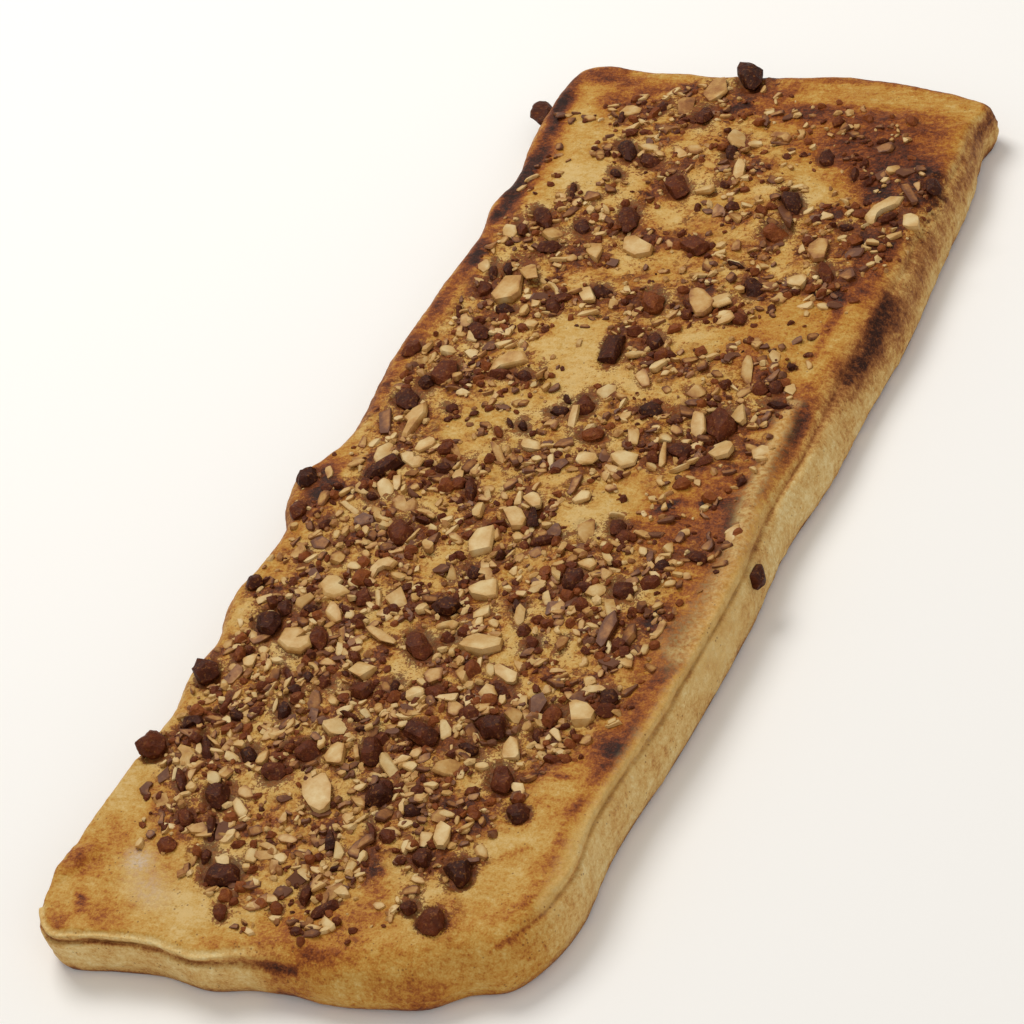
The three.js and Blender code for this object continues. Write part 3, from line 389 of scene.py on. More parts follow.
    ("a", "wedge", 9.6, -83.7, 17.5, 9.5, 3.6, 1.5, -56),
    ("a", "shard", 15.4, -80.9, 17.2, 4.3, 2.4, 1.1, 114),
    ("a", "stick", 12.1, -79.5, 17.3, 4.5, 1.5, 1.1, 104),
    ("a", "star", 17.6, -87.7, 17.3, 6.3, 4.1, 1.3, -16),
    ("a", "oval", 22.1, -88.6, 16.9, 4.1, 2.5, 1.1, 110),
    ("a", "wedge", 27.3, -93.6, 16.5, 6.4, 4.9, 1.5, -23),
    ("b", "oval", 31.1, -88.6, 16.4, 6.7, 4.5, 1.5, 77),
    ("c", "lump", 35.9, -91.5, 16.4, 7.2, 5.1, 3, 97),
    ("c", "lump", 46.4, -82.8, 16.2, 5.9, 5.3, 2.7, 109),
    ("a", "tri", 39.4, -96.9, 16.2, 6.5, 2.8, 1.2, -49),
    ("a", "oval", 31.4, -96.1, 16.2, 3.5, 2.8, 1.1, 18),
    ("c", "oval", 35, -97.8, 16.3, 4.4, 2.9, 1.9, 108),
    ("a", "arrow", 30.2, -102.9, 16.2, 10.4, 4.9, 1.9, 116),
    ("b", "wedge", 50.6, -80, 16.2, 6.2, 2.3, 1.1, 63),
    ("b", "oval", 53.2, -72.2, 16.7, 3.6, 3, 1.1, -22),
    ("c", "shard", -51.1, -86, 16.3, 6.5, 3.1, 2, 107),
    ("c", "oval", -48.9, -84.7, 16.5, 2.3, 2, 1.9, -3),
    ("a", "shard", -47.1, -88.1, 16.3, 6.3, 3.8, 1.2, 111),
    ("a", "wedge", -50.1, -90.8, 16, 5.4, 2.8, 1.1, -22),
    ("a", "oval", -50.3, -96, 15.8, 2.8, 2.1, 1.1, -40),
    ("a", "oval", -45.6, -83.8, 16.6, 5.1, 3, 1.1, 123),
    ("a", "lens", -39.9, -87.1, 16.6, 4.5, 2.9, 1.1, 0),
    ("c", "tri", -30.5, -102.2, 16.9, 6.3, 4.3, 2.4, 127),
    ("a", "sliver", -33.1, -101.7, 16.7, 6.3, 1.1, 1.1, 101),
    ("b", "oval", -23.5, -98.7, 16.9, 6.8, 3.4, 1.2, 109),
    ("c", "shard", -46.1, -103.2, 16, 7.1, 2.6, 2, 95),
    ("c", "shard", -41.6, -106, 16.2, 5.1, 3.3, 1.9, -14),
    ("a", "oval", -41.1, -103.8, 16.1, 3.6, 2.2, 1.1, 30),
    ("a", "oval", -43.1, -108.1, 15.9, 4.5, 2.7, 1.1, -40),
    ("c", "cresc", -52, -110.4, 15.8, 5.8, 4, 2.3, 29),
    ("c", "oval", -44.4, -117.2, 15.8, 9.7, 3.1, 2.5, -52),
    ("a", "sliver", -43.8, -114.8, 15.7, 8.2, 1.1, 1.1, -32),
    ("a", "oval", -46.4, -117.7, 15.6, 5.3, 2.5, 1.1, 116),
    ("a", "oval", -36.3, -114.6, 15.9, 5, 3.8, 1.1, -20),
    ("c", "block", -32.8, -117.1, 16, 5.5, 4, 2.2, 132),
    ("a", "half", -28.4, -118.1, 16, 6, 3.3, 1.2, 112),
    ("a", "oval", -36.9, -118.9, 15.7, 5, 2.9, 1.1, -11),
    ("c", "lump", -18.1, -114.4, 16.9, 6.8, 6.5, 3.2, -49),
    ("b", "lens", -15.1, -118.1, 16.6, 4.6, 2.4, 1.1, 14),
    ("b", "oval", -18.9, -119.2, 16.3, 3.4, 2.6, 1.1, -12),
    ("a", "oval", -15.6, -110.8, 16.9, 6.2, 2.2, 1.1, 111),
    ("a", "block", -13.9, -106, 17.1, 7, 5.2, 1.6, -23),
    ("a", "wedge", -14.6, -100.2, 17, 5.2, 3, 1.1, 31),
    ("c", "shard", -11.7, -102.2, 17.1, 7, 1.5, 1.9, -16),
    ("a", "shard", -9, -100.5, 17, 4.7, 2.3, 1.1, -28),
    ("a", "stick", -5.1, -113, 17.2, 8.9, 1.4, 1.1, -57),
    ("a", "oval", -6.1, -119.3, 17, 3.5, 2.2, 1.1, -12),
    ("c", "lump", -23.2, -121.4, 16.2, 6.6, 5.8, 3, -48),
    ("a", "oval", -37.8, -126, 15.6, 4.8, 3.7, 1.1, -25),
    ("c", "lens", -45.2, -128.6, 15.7, 9.1, 2.8, 2.3, -54),
    ("a", "sliver", -47.9, -127, 15.5, 7.4, 1.2, 1.1, 103),
    ("a", "oval", -41.5, -130.1, 15.6, 4.1, 2.7, 1.1, -34),
    ("a", "oval", -27.6, -128.9, 15.6, 5.8, 3.1, 1.1, -24),
    ("a", "oval", -26.5, -133.6, 15.6, 6.7, 3, 1.2, -43),
    ("c", "oval", -38.4, -139.2, 15.8, 7.1, 3.9, 2.5, -43),
    ("c", "stick", -29.9, -141.5, 15.7, 7.4, 2.3, 2, 115),
    ("c", "tri", 0.2, -138.6, 16, 6.6, 3.2, 2.3, 118),
    ("a", "wedge", 2, -127.3, 16.9, 6.1, 2.8, 1.1, -40),
    ("a", "sliver", 5.2, -132, 16.8, 4.5, 1.2, 1.1, 43),
    ("c", "cresc", 9.4, -135.3, 16.9, 6.9, 1.6, 1.9, -58),
    ("a", "oval", 3.9, -141.5, 15.9, 5.4, 3.7, 1.3, 111),
    ("a", "oval", 10, -142.3, 16.2, 3.8, 3, 1.1, 40),
    ("a", "oval", -10.2, -145.3, 14.7, 4.4, 2.9, 1.1, -30),
    ("a", "oval", -17.3, -146.3, 14.8, 6, 2.9, 1.2, 112),
    ("a", "oval", -46.3, -148, 14.6, 4.7, 2.2, 1.1, 116),
    ("b", "oval", -45, -145.2, 14.9, 2.6, 2, 1.1, -34),
    ("b", "shard", -8.2, -90.9, 16.9, 6.4, 2.6, 1.1, -52),
    ("c", "shard", -5.9, -90, 17.1, 5.5, 2.9, 1.9, 113),
    ("a", "oval", -6.6, -97.7, 17, 6.4, 2.4, 1.1, 114),
    ("a", "shard", 11.9, -93.7, 17.3, 7.3, 3.9, 1.4, 114),
    ("a", "oval", 0.2, -91.4, 17.3, 5.2, 4.4, 1.3, 45),
    ("c", "oval", -7.3, -105.5, 17.2, 4.4, 1.9, 1.9, -1),
    ("a", "oval", 12.8, -101.2, 17, 6.3, 3.5, 1.3, 109),
    ("b", "oval", 18.8, -100.7, 16.6, 5.1, 3.1, 1.1, 103),
    ("a", "oval", 9, -110, 17, 4.3, 3.3, 1.1, -8),
    ("a", "lens", 4.9, -115.7, 17.3, 9.6, 3.7, 1.6, -45),
    ("a", "wedge", 9.5, -113.9, 17, 5.3, 3.1, 1.1, -28),
    ("a", "block", 18, -112.4, 16.6, 7, 5.5, 1.7, 2),
    ("a", "oval", 25.7, -109.7, 16.1, 4.4, 3.5, 1.1, -37),
    ("a", "oval", 16.8, -118.6, 16.8, 4.3, 2.8, 1.1, -29),
    ("c", "lump", 20.5, -105.8, 16.5, 6, 3.3, 2.2, -18),
    ("c", "lump", 40.7, -122.6, 17.3, 6.5, 5.5, 3.1, -15),
    ("c", "oval", 15.6, -127, 17.2, 4.5, 3.7, 2.1, -16),
    ("a", "cresc", 12.9, -126.2, 17.1, 6.1, 1.9, 1.1, 109),
    ("b", "oval", 10.1, -129.6, 17.1, 4.8, 3.7, 1.2, 41),
    ("a", "cresc", 13.8, -134.1, 17, 5.8, 2.4, 1.1, -3),
    ("a", "lens", 19, -137.1, 17, 5.7, 1.9, 1.1, 101),
    ("c", "lump", 24.4, -139.9, 17.2, 6.9, 4.9, 3, -49),
    ("a", "oval", 36.5, -134.9, 16.7, 5.8, 2.5, 1.1, -46),
    ("a", "tri", -22.4, -150.6, 15, 9.5, 4.4, 1.8, -58),
    ("c", "oval", -27.7, -148.9, 15.3, 4.5, 2.7, 1.9, 100),
    ("c", "oval", -16.9, -163.2, 14.5, 5.5, 3, 2, 118),
    ("c", "lump", -4.6, -158.6, 14.4, 4.1, 3.3, 1.9, -40),
    ("a", "oval", -3.4, -161.5, 14.3, 3.6, 2.4, 1.1, 2),
    ("c", "shard", -14.9, -150, 14.7, 3.4, 1.7, 1.9, 54),
    ("c", "oval", 4.7, -146, 15.5, 3.4, 1.2, 1.9, 27),
    ("c", "chip", 0.6, -153.8, 14.7, 6.7, 3, 2.3, 107),
    ("c", "stick", 7.6, -157, 14.9, 7.3, 2.7, 2.6, 47),
    ("c", "oval", 27.2, -153.6, 16.3, 5.6, 3.8, 2.4, -42),
    ("b", "oval", 26, -149.2, 16.4, 5.5, 2.5, 1.1, 17),
]
# How far the crust has browned, by patches: x, y, half length, half width, turn, change, what.
PATCHES = [
    (14, -145, 8.3, 3.6, -72, 0.3, "b"),
    (15, -159, 6.9, 5.7, -57, 0.22, "b"),
    (15, -162, 6.2, 4.4, -49, 0.25, "s"),
    (11, -169, 8.7, 2.1, -2, 0.32, "b"),
    (19, -150, 9.2, 3.8, -62, 0.16, "b"),
    (39, -168, 8.9, 2, 18, 0.3, "b"),
    (35, -121, 8.6, 7.1, 29, 0.2, "b"),
    (23, -121, 5.3, 4.2, -28, 0.12, "b"),
    (46, -110, 3.4, 1, -9, 0.45, "b"),
    (47, -114, 6.6, 2.8, 9, -0.16, "b"),
    (51, -100, 10.1, 5.3, -8, 0.22, "b"),
    (54, -99, 3.4, 2.8, -37, 0.28, "b"),
    (40, -132, 8.5, 2.8, 28, -0.2, "b"),
    (45, -133, 2.9, 0.9, 25, 0.4, "b"),
    (53, -136, 4.4, 2.4, 24, 0.1, "b"),
    (-39, -149, 7.5, 3.9, -43, 0.14, "b"),
    (-44, -153, 4.2, 3.1, -34, 0.75, "f"),
    (-37, -160, 6.9, 4, -31, 0.4, "f"),
    (-53, -147, 4.4, 2.6, -51, 0.1, "b"),
    (-45, -171, 9.9, 6.5, -19, 0.18, "b"),
    (-52, -167, 3.3, 1, -52, 0.5, "b"),
    (-54, -174, 5.3, 2.6, -59, 0.28, "b"),
    (-21, -162, 16.9, 6.9, -3, -0.14, "b"),
    (-28, -166, 12.3, 5.3, -10, -0.1, "b"),
    (-39, -174, 8.1, 1.9, -5, -0.1, "b"),
    (-1, -172, 11.5, 2.1, -4, 0.26, "b"),
    (-3, -168, 5.2, 2.7, -57, 0.26, "b"),
    (1, -166, 3.7, 2.4, -51, 0.22, "b"),
    (-17, -169, 4.4, 2.8, -60, 0.14, "b"),
    (3, -162, 7.2, 4.3, 4, 0.14, "b"),
    (-60, -129, 11.5, 7.8, -56, -0.1, "b"),
    (-47, -135, 6.5, 3.3, -77, 0.16, "b"),
    (-54, -131, 4.5, 3.5, -82, 0.18, "b"),
    (-38, -143, 3.4, 2.3, -46, 0.12, "b"),
    (-17, -153, 7.4, 4.4, 3, -0.04, "b"),
    (31, -151, 6.7, 4.5, 20, -0.02, "b"),
    (34, -166, 9.9, 3.8, 25, 0.06, "b"),
    (51, -158, 8, 7, 83, 0.02, "b"),
    (41, -150, 6.6, 4.6, 30, 0.04, "b"),
    (53, -151, 8, 4.9, -80, 0.06, "b"),
    (-39, 116, 12.7, 9.1, -46, -0.3, "b"),
    (28, 119, 10.1, 5.4, -52, -0.28, "b"),
    (-13, 39, 17.3, 9.4, -61, -0.28, "b"),
    (-13, 10, 17.2, 12.9, 18, -0.24, "b"),
    (17, -20, 11.2, 9, -65, -0.3, "b"),
    (12, -30, 8.6, 6.8, -28, -0.16, "b"),
    (-31, -109, 7.8, 6.1, 40, -0.2, "b"),
    (-7, -125, 7.5, 4.7, 2, -0.1, "b"),
    (-11, -14, 10, 7.4, -14, -0.14, "b"),
    (11, 30, 9.8, 7.7, -25, -0.12, "b"),
    (-32, 6, 7.5, 4.7, -55, -0.18, "b"),
    (20, 50, 8, 6.3, -42, -0.1, "b"),
    (22, -63, 6.6, 5, -12, -0.08, "b"),
    (-50, -36, 9, 6.7, 73, -0.1, "b"),
    (-14, -46, 7.7, 5.4, -7, -0.12, "b"),
    (-23, -69, 8.9, 5.9, -3, -0.1, "b"),
    (-25, -131, 8, 5.9, -14, -0.1, "b"),
    (7, -146, 6.8, 5.3, -31, -0.08, "b"),
    (3, -90, 5.1, 3.3, 0, -0.06, "b"),
    (-51, -51, 10.6, 5.8, -72, -0.12, "b"),
    (-54, -81, 9.6, 3.9, -81, -0.1, "b"),
    (-39, 139, 9.8, 7, -46, -0.1, "b"),
    (15, 112, 9.1, 6.9, -16, -0.08, "b"),
    (54, -48, 14.8, 7.9, -80, 0.16, "b"),
    (52, -68, 12.3, 7.6, 80, 0.12, "b"),
    (63, -73, 10.9, 6.4, -79, 0.1, "b"),
    (50, -27, 13.4, 6.2, -23, 0.26, "b"),
    (33, -23, 11.1, 8, -54, 0.14, "b"),
    (51, -16, 8.7, 6.7, -51, 0.3, "b"),
    (53, 1, 12.5, 6.1, -82, 0.26, "b"),
    (50, 29, 12.7, 8.4, -61, 0.26, "b"),
    (41, -2, 8.7, 5.7, -1, 0.22, "b"),
    (39, -13, 8.3, 3.9, 42, 0.2, "b"),
    (40, -37, 9.9, 4.5, 15, 0.2, "b"),
    (36, -16, 3.5, 1.4, 42, 0.4, "b"),
    (46, -14, 3.9, 1.9, 6, 0.45, "b"),
    (24, -4, 7, 5.5, -19, 0.08, "b"),
    (36, 42, 8.9, 6.4, -55, 0.18, "b"),
    (64, 38, 9.5, 5.7, -78, 0.24, "b"),
    (62, 20, 12.6, 4.9, -87, 0.26, "b"),
    (62, 44, 5.2, 3.8, -58, 0.18, "b"),
    (52, 126, 19.8, 9.6, -69, 0.34, "b"),
    (62, 123, 10, 5, -78, 0.22, "b"),
    (42, 156, 17, 8.6, -10, 0.16, "b"),
    (33, 138, 11, 8.7, -40, 0.28, "b"),
    (52, 98, 11.9, 8, -62, 0.22, "b"),
    (66, 85, 12.6, 5.7, -80, 0.06, "b"),
    (51, 73, 8.3, 5.6, -3, 0.42, "b"),
    (10, 159, 15.9, 5.4, -6, 0.22, "b"),
    (-8, 170, 10.9, 4.2, 2, 0.28, "b"),
    (-43, 172, 16.9, 3.6, -5, 0.26, "b"),
    (-60, 175, 8.2, 3.3, 1, 0.22, "b"),
    (-65, 154, 11.4, 3.7, -75, 0.3, "b"),
    (-20, 157, 10.7, 7.5, -13, 0.12, "b"),
    (58, 164, 9, 4.9, -33, 0.02, "b"),
    (65, 166, 5.7, 2, -72, 0.2, "b"),
    (55, 153, 6.1, 4.8, -19, 0.06, "b"),
    (67, 114, 19.6, 4.5, -85, 0.06, "b"),
    (56, 84, 8.5, 4.3, -78, 0.2, "b"),
    (61, 135, 7.6, 5.4, -60, 0.1, "b"),
    (-60, 110, 16.4, 4, -78, 0.42, "b"),
    (-58, 79, 12.4, 3.8, -84, 0.28, "b"),
    (-61, 56, 9.2, 3.1, -84, 0.2, "b"),
    (-64, 38, 7.3, 3.2, -88, 0.16, "b"),
    (-59, -18, 8.3, 5.2, -68, 0.26, "b"),
    (-59, -29, 7.2, 3.4, -77, 0.22, "b"),
    (-51, -68, 10.2, 3.2, -79, 0.1, "b"),
    (-56, -50, 7.1, 3.8, -72, 0.12, "b"),
    (-57, -89, 5.3, 3.5, -57, 0.16, "b"),
    (-71, 19, 8.1, 4.1, -73, 0.1, "b"),
    (-58, 126, 12, 4.3, -77, 0.2, "b"),
    (-49, 162, 10.3, 7.5, -20, 0.1, "b"),
    (11, -106, 8.8, 6.8, -42, 0.22, "s"),
    (-12, -74, 9.4, 6.1, -53, 0.18, "s"),
    (-29, -38, 8.4, 6.1, -43, 0.24, "s"),
    (37, 19, 9.7, 6.4, -60, 0.28, "s"),
    (-2, 41, 9.1, 5.8, -58, 0.22, "s"),
    (-48, -76, 8.8, 6.5, -21, 0.24, "s"),
    (-14, -92, 7.6, 5.7, -38, 0.22, "s"),
    (-19, -114, 8.1, 6.1, -16, 0.22, "s"),
    (24, -95, 8.8, 6.8, -44, 0.2, "s"),
    (3, 88, 10.3, 7.8, -43, 0.2, "s"),
    (-3, 64, 11.9, 8, -55, 0.18, "s"),
    (49, -34, 10.1, 5.4, 5, 0.28, "s"),
    (48, -46, 9.9, 5.3, -80, 0.24, "s"),
    (6, -156, 7.5, 5.6, -10, 0.24, "s"),
    (-21, -153, 5.8, 4.3, -35, 0.2, "s"),
    (-42, 102, 15.6, 8.6, -60, 0.18, "s"),
    (-48, 64, 12.9, 6.3, -74, 0.2, "s"),
    (-47, 27, 9.5, 6.6, -47, 0.2, "s"),
    (-44, -15, 8.7, 5.8, -6, 0.22, "s"),
    (-1, -57, 10.2, 8, -31, 0.2, "s"),
    (22, -45, 8.3, 6.7, -26, 0.18, "s"),
    (-47, -103, 8.5, 6.3, -80, 0.2, "s"),
    (-44, -121, 9.3, 5.5, -71, 0.22, "s"),
    (7, -125, 6.3, 4.5, -6, 0.16, "s"),
    (33, -115, 9.2, 4.9, -73, 0.18, "s"),
    (-6, -73, 10.3, 5.2, -71, 0.16, "s"),
    (4, 4, 9.1, 7.2, -32, 0.14, "s"),
    (-19, 146, 11.4, 8.3, -46, 0.16, "s"),
    (18, 138, 15.5, 7.6, -35, 0.22, "s"),
    (48, -80, 7.2, 6.7, 75, 0.14, "s"),
    (40, -71, 11.1, 9, -37, 0.14, "s"),
    (26, 149, 22.1, 12.1, -33, 0.12, "b"),
    (-21, 158, 18.8, 7.8, 2, 0.1, "b"),
    (-59, -25, 11.1, 7.6, -45, 0.3, "b"),
    (-67, -20, 8.6, 4, -58, 0.25, "s"),
    (-57, -157, 4.6, 3.3, -34, 0.22, "b"),
    (47, 140, 30.4, 16.7, -60, 0.05, "b"),
    (18, 155, 33.5, 13.7, -16, 0.1, "b"),
    (47, 112, 18.6, 9.6, -49, 0.12, "b"),
    (-68, 162, 10.4, 4.1, -8, 0.14, "b"),
    (-50, -135, 10.6, 7, -46, -0.08, "b"),
    (-12, 87, 10.4, 7.9, -41, -0.14, "b"),
    (-6, 111, 10.9, 9.2, 83, -0.16, "b"),
    (-43, 166, 19.2, 7, 2, 0.16, "b"),
    (57, 84, 12.4, 5.9, -81, 0.18, "b"),
    (6, 88, 35.8, 29, 19, 0.04, "b"),
    (-62, 137, 14.7, 6.7, -74, 0.1, "b"),
]
# Bands along the edges: what, half width at each end, change, the line.
LINES = [
    ("c", 2.2, 2.6, 0.9, [(53.5, 27), (54.2, 18.7), (55.2, 5), (55.9, -6.4), (57.2, -15.6), (58.7, -23.5), (59.5, -31.4)]),
    ("c", 3.3, 5.9, 0.8, [(59.5, -31.4), (60, -37.2), (60.6, -47.3), (60.6, -56.1), (59.9, -65.7)]),
    ("h", 2.2, 2.6, 0.7, [(54.1, 33), (54.2, 18.7), (55.2, 5), (55.9, -6.4), (58.7, -23.5), (60, -37.2), (60.2, -50.9)]),
    ("h", 1.9, 2.2, -0.9, [(58.4, 29.9), (59.3, 16.3), (60.9, -6.3), (62.3, -19.6), (62.9, -29.8)]),
    ("b", 2.2, 1.9, 0.2, [(58.8, 23.9), (59.3, 16.3), (59.9, 4.4), (60.9, -6.3), (62.3, -19.6), (62.8, -28.1)]),
    ("b", 3, 2.6, 0.15, [(63.2, 45.2), (63.4, 34.8), (63.1, 23), (62.5, 12.4)]),
    ("b", 3.3, 3.3, -0.16, [(67.1, 41), (66.5, 25.4), (65.4, 4.1), (63.3, -8.4), (63.5, -18.7)]),
    ("b", 3.7, 2.6, 0.32, [(64.7, 73.9), (64.9, 68.8), (64.2, 62.5), (64.9, 57.5), (64.3, 51)]),
    ("b", 3.3, 3.7, 0.2, [(64.7, 75.1), (65, 65.3), (64.4, 55), (63.8, 43.4)]),
    ("b", 3.7, 3.3, -0.12, [(54.4, 92.5), (54.4, 75.2), (53.9, 56.5), (53.7, 39)]),
    ("b", 1.9, 1.9, 0.3, [(53.4, 69.9), (53.7, 57.3), (53.3, 45)]),
    ("b", 3.7, 3, 0.06, [(46.8, 145.7), (56.4, 133.9), (62.4, 123.4), (61.3, 117.9)]),
    ("s", 2.2, 2.2, 0.18, [(59.3, 127.4), (62.6, 123.6)]),
    ("b", 2.6, 2.6, -0.1, [(64.4, 163.2), (66.4, 143.1), (66.5, 125.2), (67.5, 106.4)]),
    ("b", 2.2, 2.2, 0.22, [(56.4, 182.4), (47.8, 174.9), (34.4, 178.7), (19.3, 178.1), (4.2, 176.5), (-33.9, 189.1), (-55.6, 179.7), (-64.8, 177.6)]),
    ("b", 3.3, 3.3, -0.14, [(58.8, 163.4), (44.6, 166.1), (26.1, 167), (7.6, 166.9)]),
    ("b", 3.3, 3.3, -0.1, [(-18.5, 168.8), (-39.1, 171.5), (-57.9, 169.1), (-57.9, 149.5)]),
    ("b", 3, 3, 0.3, [(-68.5, 174), (-66.6, 158.1), (-62.8, 140.2), (-60.9, 126.2), (-60.7, 110.6), (-60.9, 97.8)]),
    ("b", 2.6, 2.6, 0.24, [(-60.9, 97.8), (-59.6, 75.6), (-60.5, 56), (-61.4, 40.5), (-61.6, 27.5), (-61.2, 10.3)]),
    ("b", 4.4, 4.4, -0.12, [(-58.2, 161.9), (-53.5, 137.7), (-50.4, 115.5), (-50.6, 98.4), (-50.7, 80.7)]),
    ("c", 1.5, 1.5, 0.6, [(61.4, -60.6), (60.7, -77.5), (59.8, -91), (58.3, -105), (56.9, -120.6), (56.8, -133.6), (56.1, -144.8)]),
    ("b", 1.9, 1.9, 0.12, [(56.1, -91.4), (54.9, -105.6), (53.5, -120.2), (53, -132.3)]),
    ("b", 2.2, 3, 0.1, [(59.4, -61.6), (57, -75.5), (54.4, -89.7)]),
    ("h", 3.7, 3.7, 2, [(-60.1, -158.2), (-59.1, -154.2)]),
    ("b", 3.3, 3.3, 0.18, [(-60.1, -158.2), (-59.1, -154.2)]),
    ("b", 1.5, 1.1, 0.24, [(64.8, 71.9), (65, 65), (64.9, 61.7)]),
    ("b", 1.9, 1.5, 0.3, [(63.9, 49.8), (63.6, 40.8)]),
]
# The area that the chips and nuts were strewn over.
STREWN = [(-65, 156), (-20, 174), (41, 160), (66, 118), (63, 90), (58, 72), (53, 37), (55, 9), (59, -33), (52, -63), (55, -96), (41, -111), (38, -137), (31, -151), (15, -169), (-1, -173), (-27, -157), (-49, -146), (-59, -118), (-60, -90), (-58, -68), (-63, -46), (-65, -18), (-59, 12), (-57, 48), (-57, 90), (-62, 125)]


# ---- noise -------------------------------------------------------------------
def lattice(seed):
    rs = np.random.RandomState(seed)
    g = rs.normal(size=(32, 32, 32, 3))
    return g / np.linalg.norm(g, axis=-1, keepdims=True)


_lattices = {}


def perlin(p, scale, seed):
    """Smooth noise of about -0.7 to 0.7 at points p, with features of about scale."""
    if seed not in _lattices:
        _lattices[seed] = lattice(seed)
    g = _lattices[seed]
    q = np.asarray(p, float) / scale
    i = np.floor(q).astype(int)
    f = q - i
    w = f * f * f * (f * (f * 6 - 15) + 10)
    out = 0
    for dx in (0, 1):
        for dy in (0, 1):
            for dz in (0, 1):
                d = f - np.array([dx, dy, dz])
                c = g[(i[:, 0] + dx) % 32, (i[:, 1] + dy) % 32, (i[:, 2] + dz) % 32]
                k = (w[:, 0] if dx else 1 - w[:, 0]) * (w[:, 1] if dy else 1 - w[:, 1]) * (w[:, 2] if dz else 1 - w[:, 2])
                out = out + k * (c * d).sum(1)
    return out * 1.4


def smooth(u):
    u = np.clip(u, 0, 1)
    return u * u * (3 - 2 * u)


def table(rows, t, column):
    rows = np.array(rows, float)
    return np.interp(t, rows[:, 0], rows[:, column])


# ---- the slab ----------------------------------------------------------------
def crust_height(x, y):
    z = 16.2 + 0.010 * x
    z = z - 2.4 * smooth((-y - 105) / 70) * (1 - 0.45 * (x + 65) / 130)
    z = z - 2.8 * smooth((y - 120) / 60)
    z = z + 0.5 * np.sin(x / 17.0 + 1.3) * np.sin(y / 23.0 + 0.4) + 0.35 * np.sin(x / 9.0 - 0.7 + y / 31.0) * np.sin(y / 11.0)
    for bx, by, r, h in SWELLS:
        z = z + h * np.exp(-((x - bx) ** 2 + (y - by) ** 2) / (r * r))
    return z


def relief(x, y):
    """The fine rise and fall of the baked surface."""
    p = np.stack([x, y, np.zeros_like(x)], -1)
    a = 0.62 * perlin(p, 15.0, 1) + 0.42 * perlin(p, 7.0, 2) + 0.26 * perlin(p, 3.4, 3) + 0.11 * perlin(p, 1.7, 4)
    blister = perlin(p, 5.0, 5)
    return a + 0.5 * np.clip(blister - 0.22, 0, 1)


def catmull(points, per=24):
    p = np.asarray(points, float)
    out = []
    m = len(p)
    for i in range(m):
        a, b, c, d = p[(i - 1) % m], p[i], p[(i + 1) % m], p[(i + 2) % m]
        t0 = 0.0
        t1 = t0 + math.sqrt(np.hypot(*(b - a)))
        t2 = t1 + math.sqrt(np.hypot(*(c - b)))
        t3 = t2 + math.sqrt(np.hypot(*(d - c)))
        t = np.linspace(t1, t2, per, endpoint=False)[:, None]
        e = (t1 - t) / (t1 - t0) * a + (t - t0) / (t1 - t0) * b
        f = (t2 - t) / (t2 - t1) * b + (t - t1) / (t2 - t1) * c
        g = (t3 - t) / (t3 - t2) * c + (t - t2) / (t3 - t2) * d
        h = (t2 - t) / (t2 - t0) * e + (t - t0) / (t2 - t0) * f
        k = (t3 - t) / (t3 - t1) * f + (t - t1) / (t3 - t1) * g
        out.append((t2 - t) / (t2 - t1) * h + (t - t1) / (t2 - t1) * k)
    return np.concatenate(out)


def side_curves():
    points, marks = [], [0]
    for s in SIDES:
        points += OUTLINE[s][:-1]
        marks.append(len(points))
    dense = catmull(points)
    return {s: dense[np.arange(marks[i] * 24, marks[i + 1] * 24 + 1) % len(dense)] for i, s in enumerate(SIDES)}


def along(curve, t):
    d = np.r_[0, np.cumsum(np.hypot(*np.diff(curve, axis=0).T))]
    d /= d[-1]
    return np.stack([np.interp(t, d, curve[:, 0]), np.interp(t, d, curve[:, 1])], -1)


CURVES = side_curves()
plan = np.concatenate([CURVES[s] for s in SIDES])
lo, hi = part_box("pastry_dough")
SHIFT = np.array([(lo.x + hi.x) * 500 - (plan[:, 0].min() + plan[:, 0].max()) / 2, (lo.y + hi.y) * 500 - (plan[:, 1].min() + plan[:, 1].max()) / 2, 0.0])


def metres(p):
    return (np.asarray(p, float) + SHIFT) / 1000


# every topping, in the working frame
toppings = []
for node, kind, shape, length, width, thick, turn in CAD_TOPPINGS:
    a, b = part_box(node)
    x, y, z = (np.array(a) + np.array(b)) * 500 - SHIFT
    toppings.append(dict(node=node, kind=kind, shape=shape, x=x, y=y, z=z, L=length, W=width, H=thick, turn=turn))
for kind, shape, x, y, z, length, width, thick, turn in MORE_TOPPINGS:
    toppings.append(dict(node=None, kind=kind, shape=shape, x=x, y=y, z=z, L=length, W=width, H=thick, turn=turn))

NS, NL = 128, 400
COUNT = {"near": NS, "right": NL, "far": NS, "left": NL}
ROWS_TOP = 12
ROUND = [0.07, 0.15, 0.23, 0.30, 0.36, 0.40, 0.44, 0.50, 0.58, 0.66, 0.75, 0.84, 0.92, 1.0]
ROWS_WALL = 9


def seam_profile(a):
    """Lip above the seam, then the groove: outward shift as a share of the seam's depth."""
    return 0.55 * np.exp(-((a - 0.27) / 0.09) ** 2) - 1.25 * np.exp(-((a - 0.40) / 0.045) ** 2) + 0.25 * np.exp(-((a - 0.56) / 0.12) ** 2)


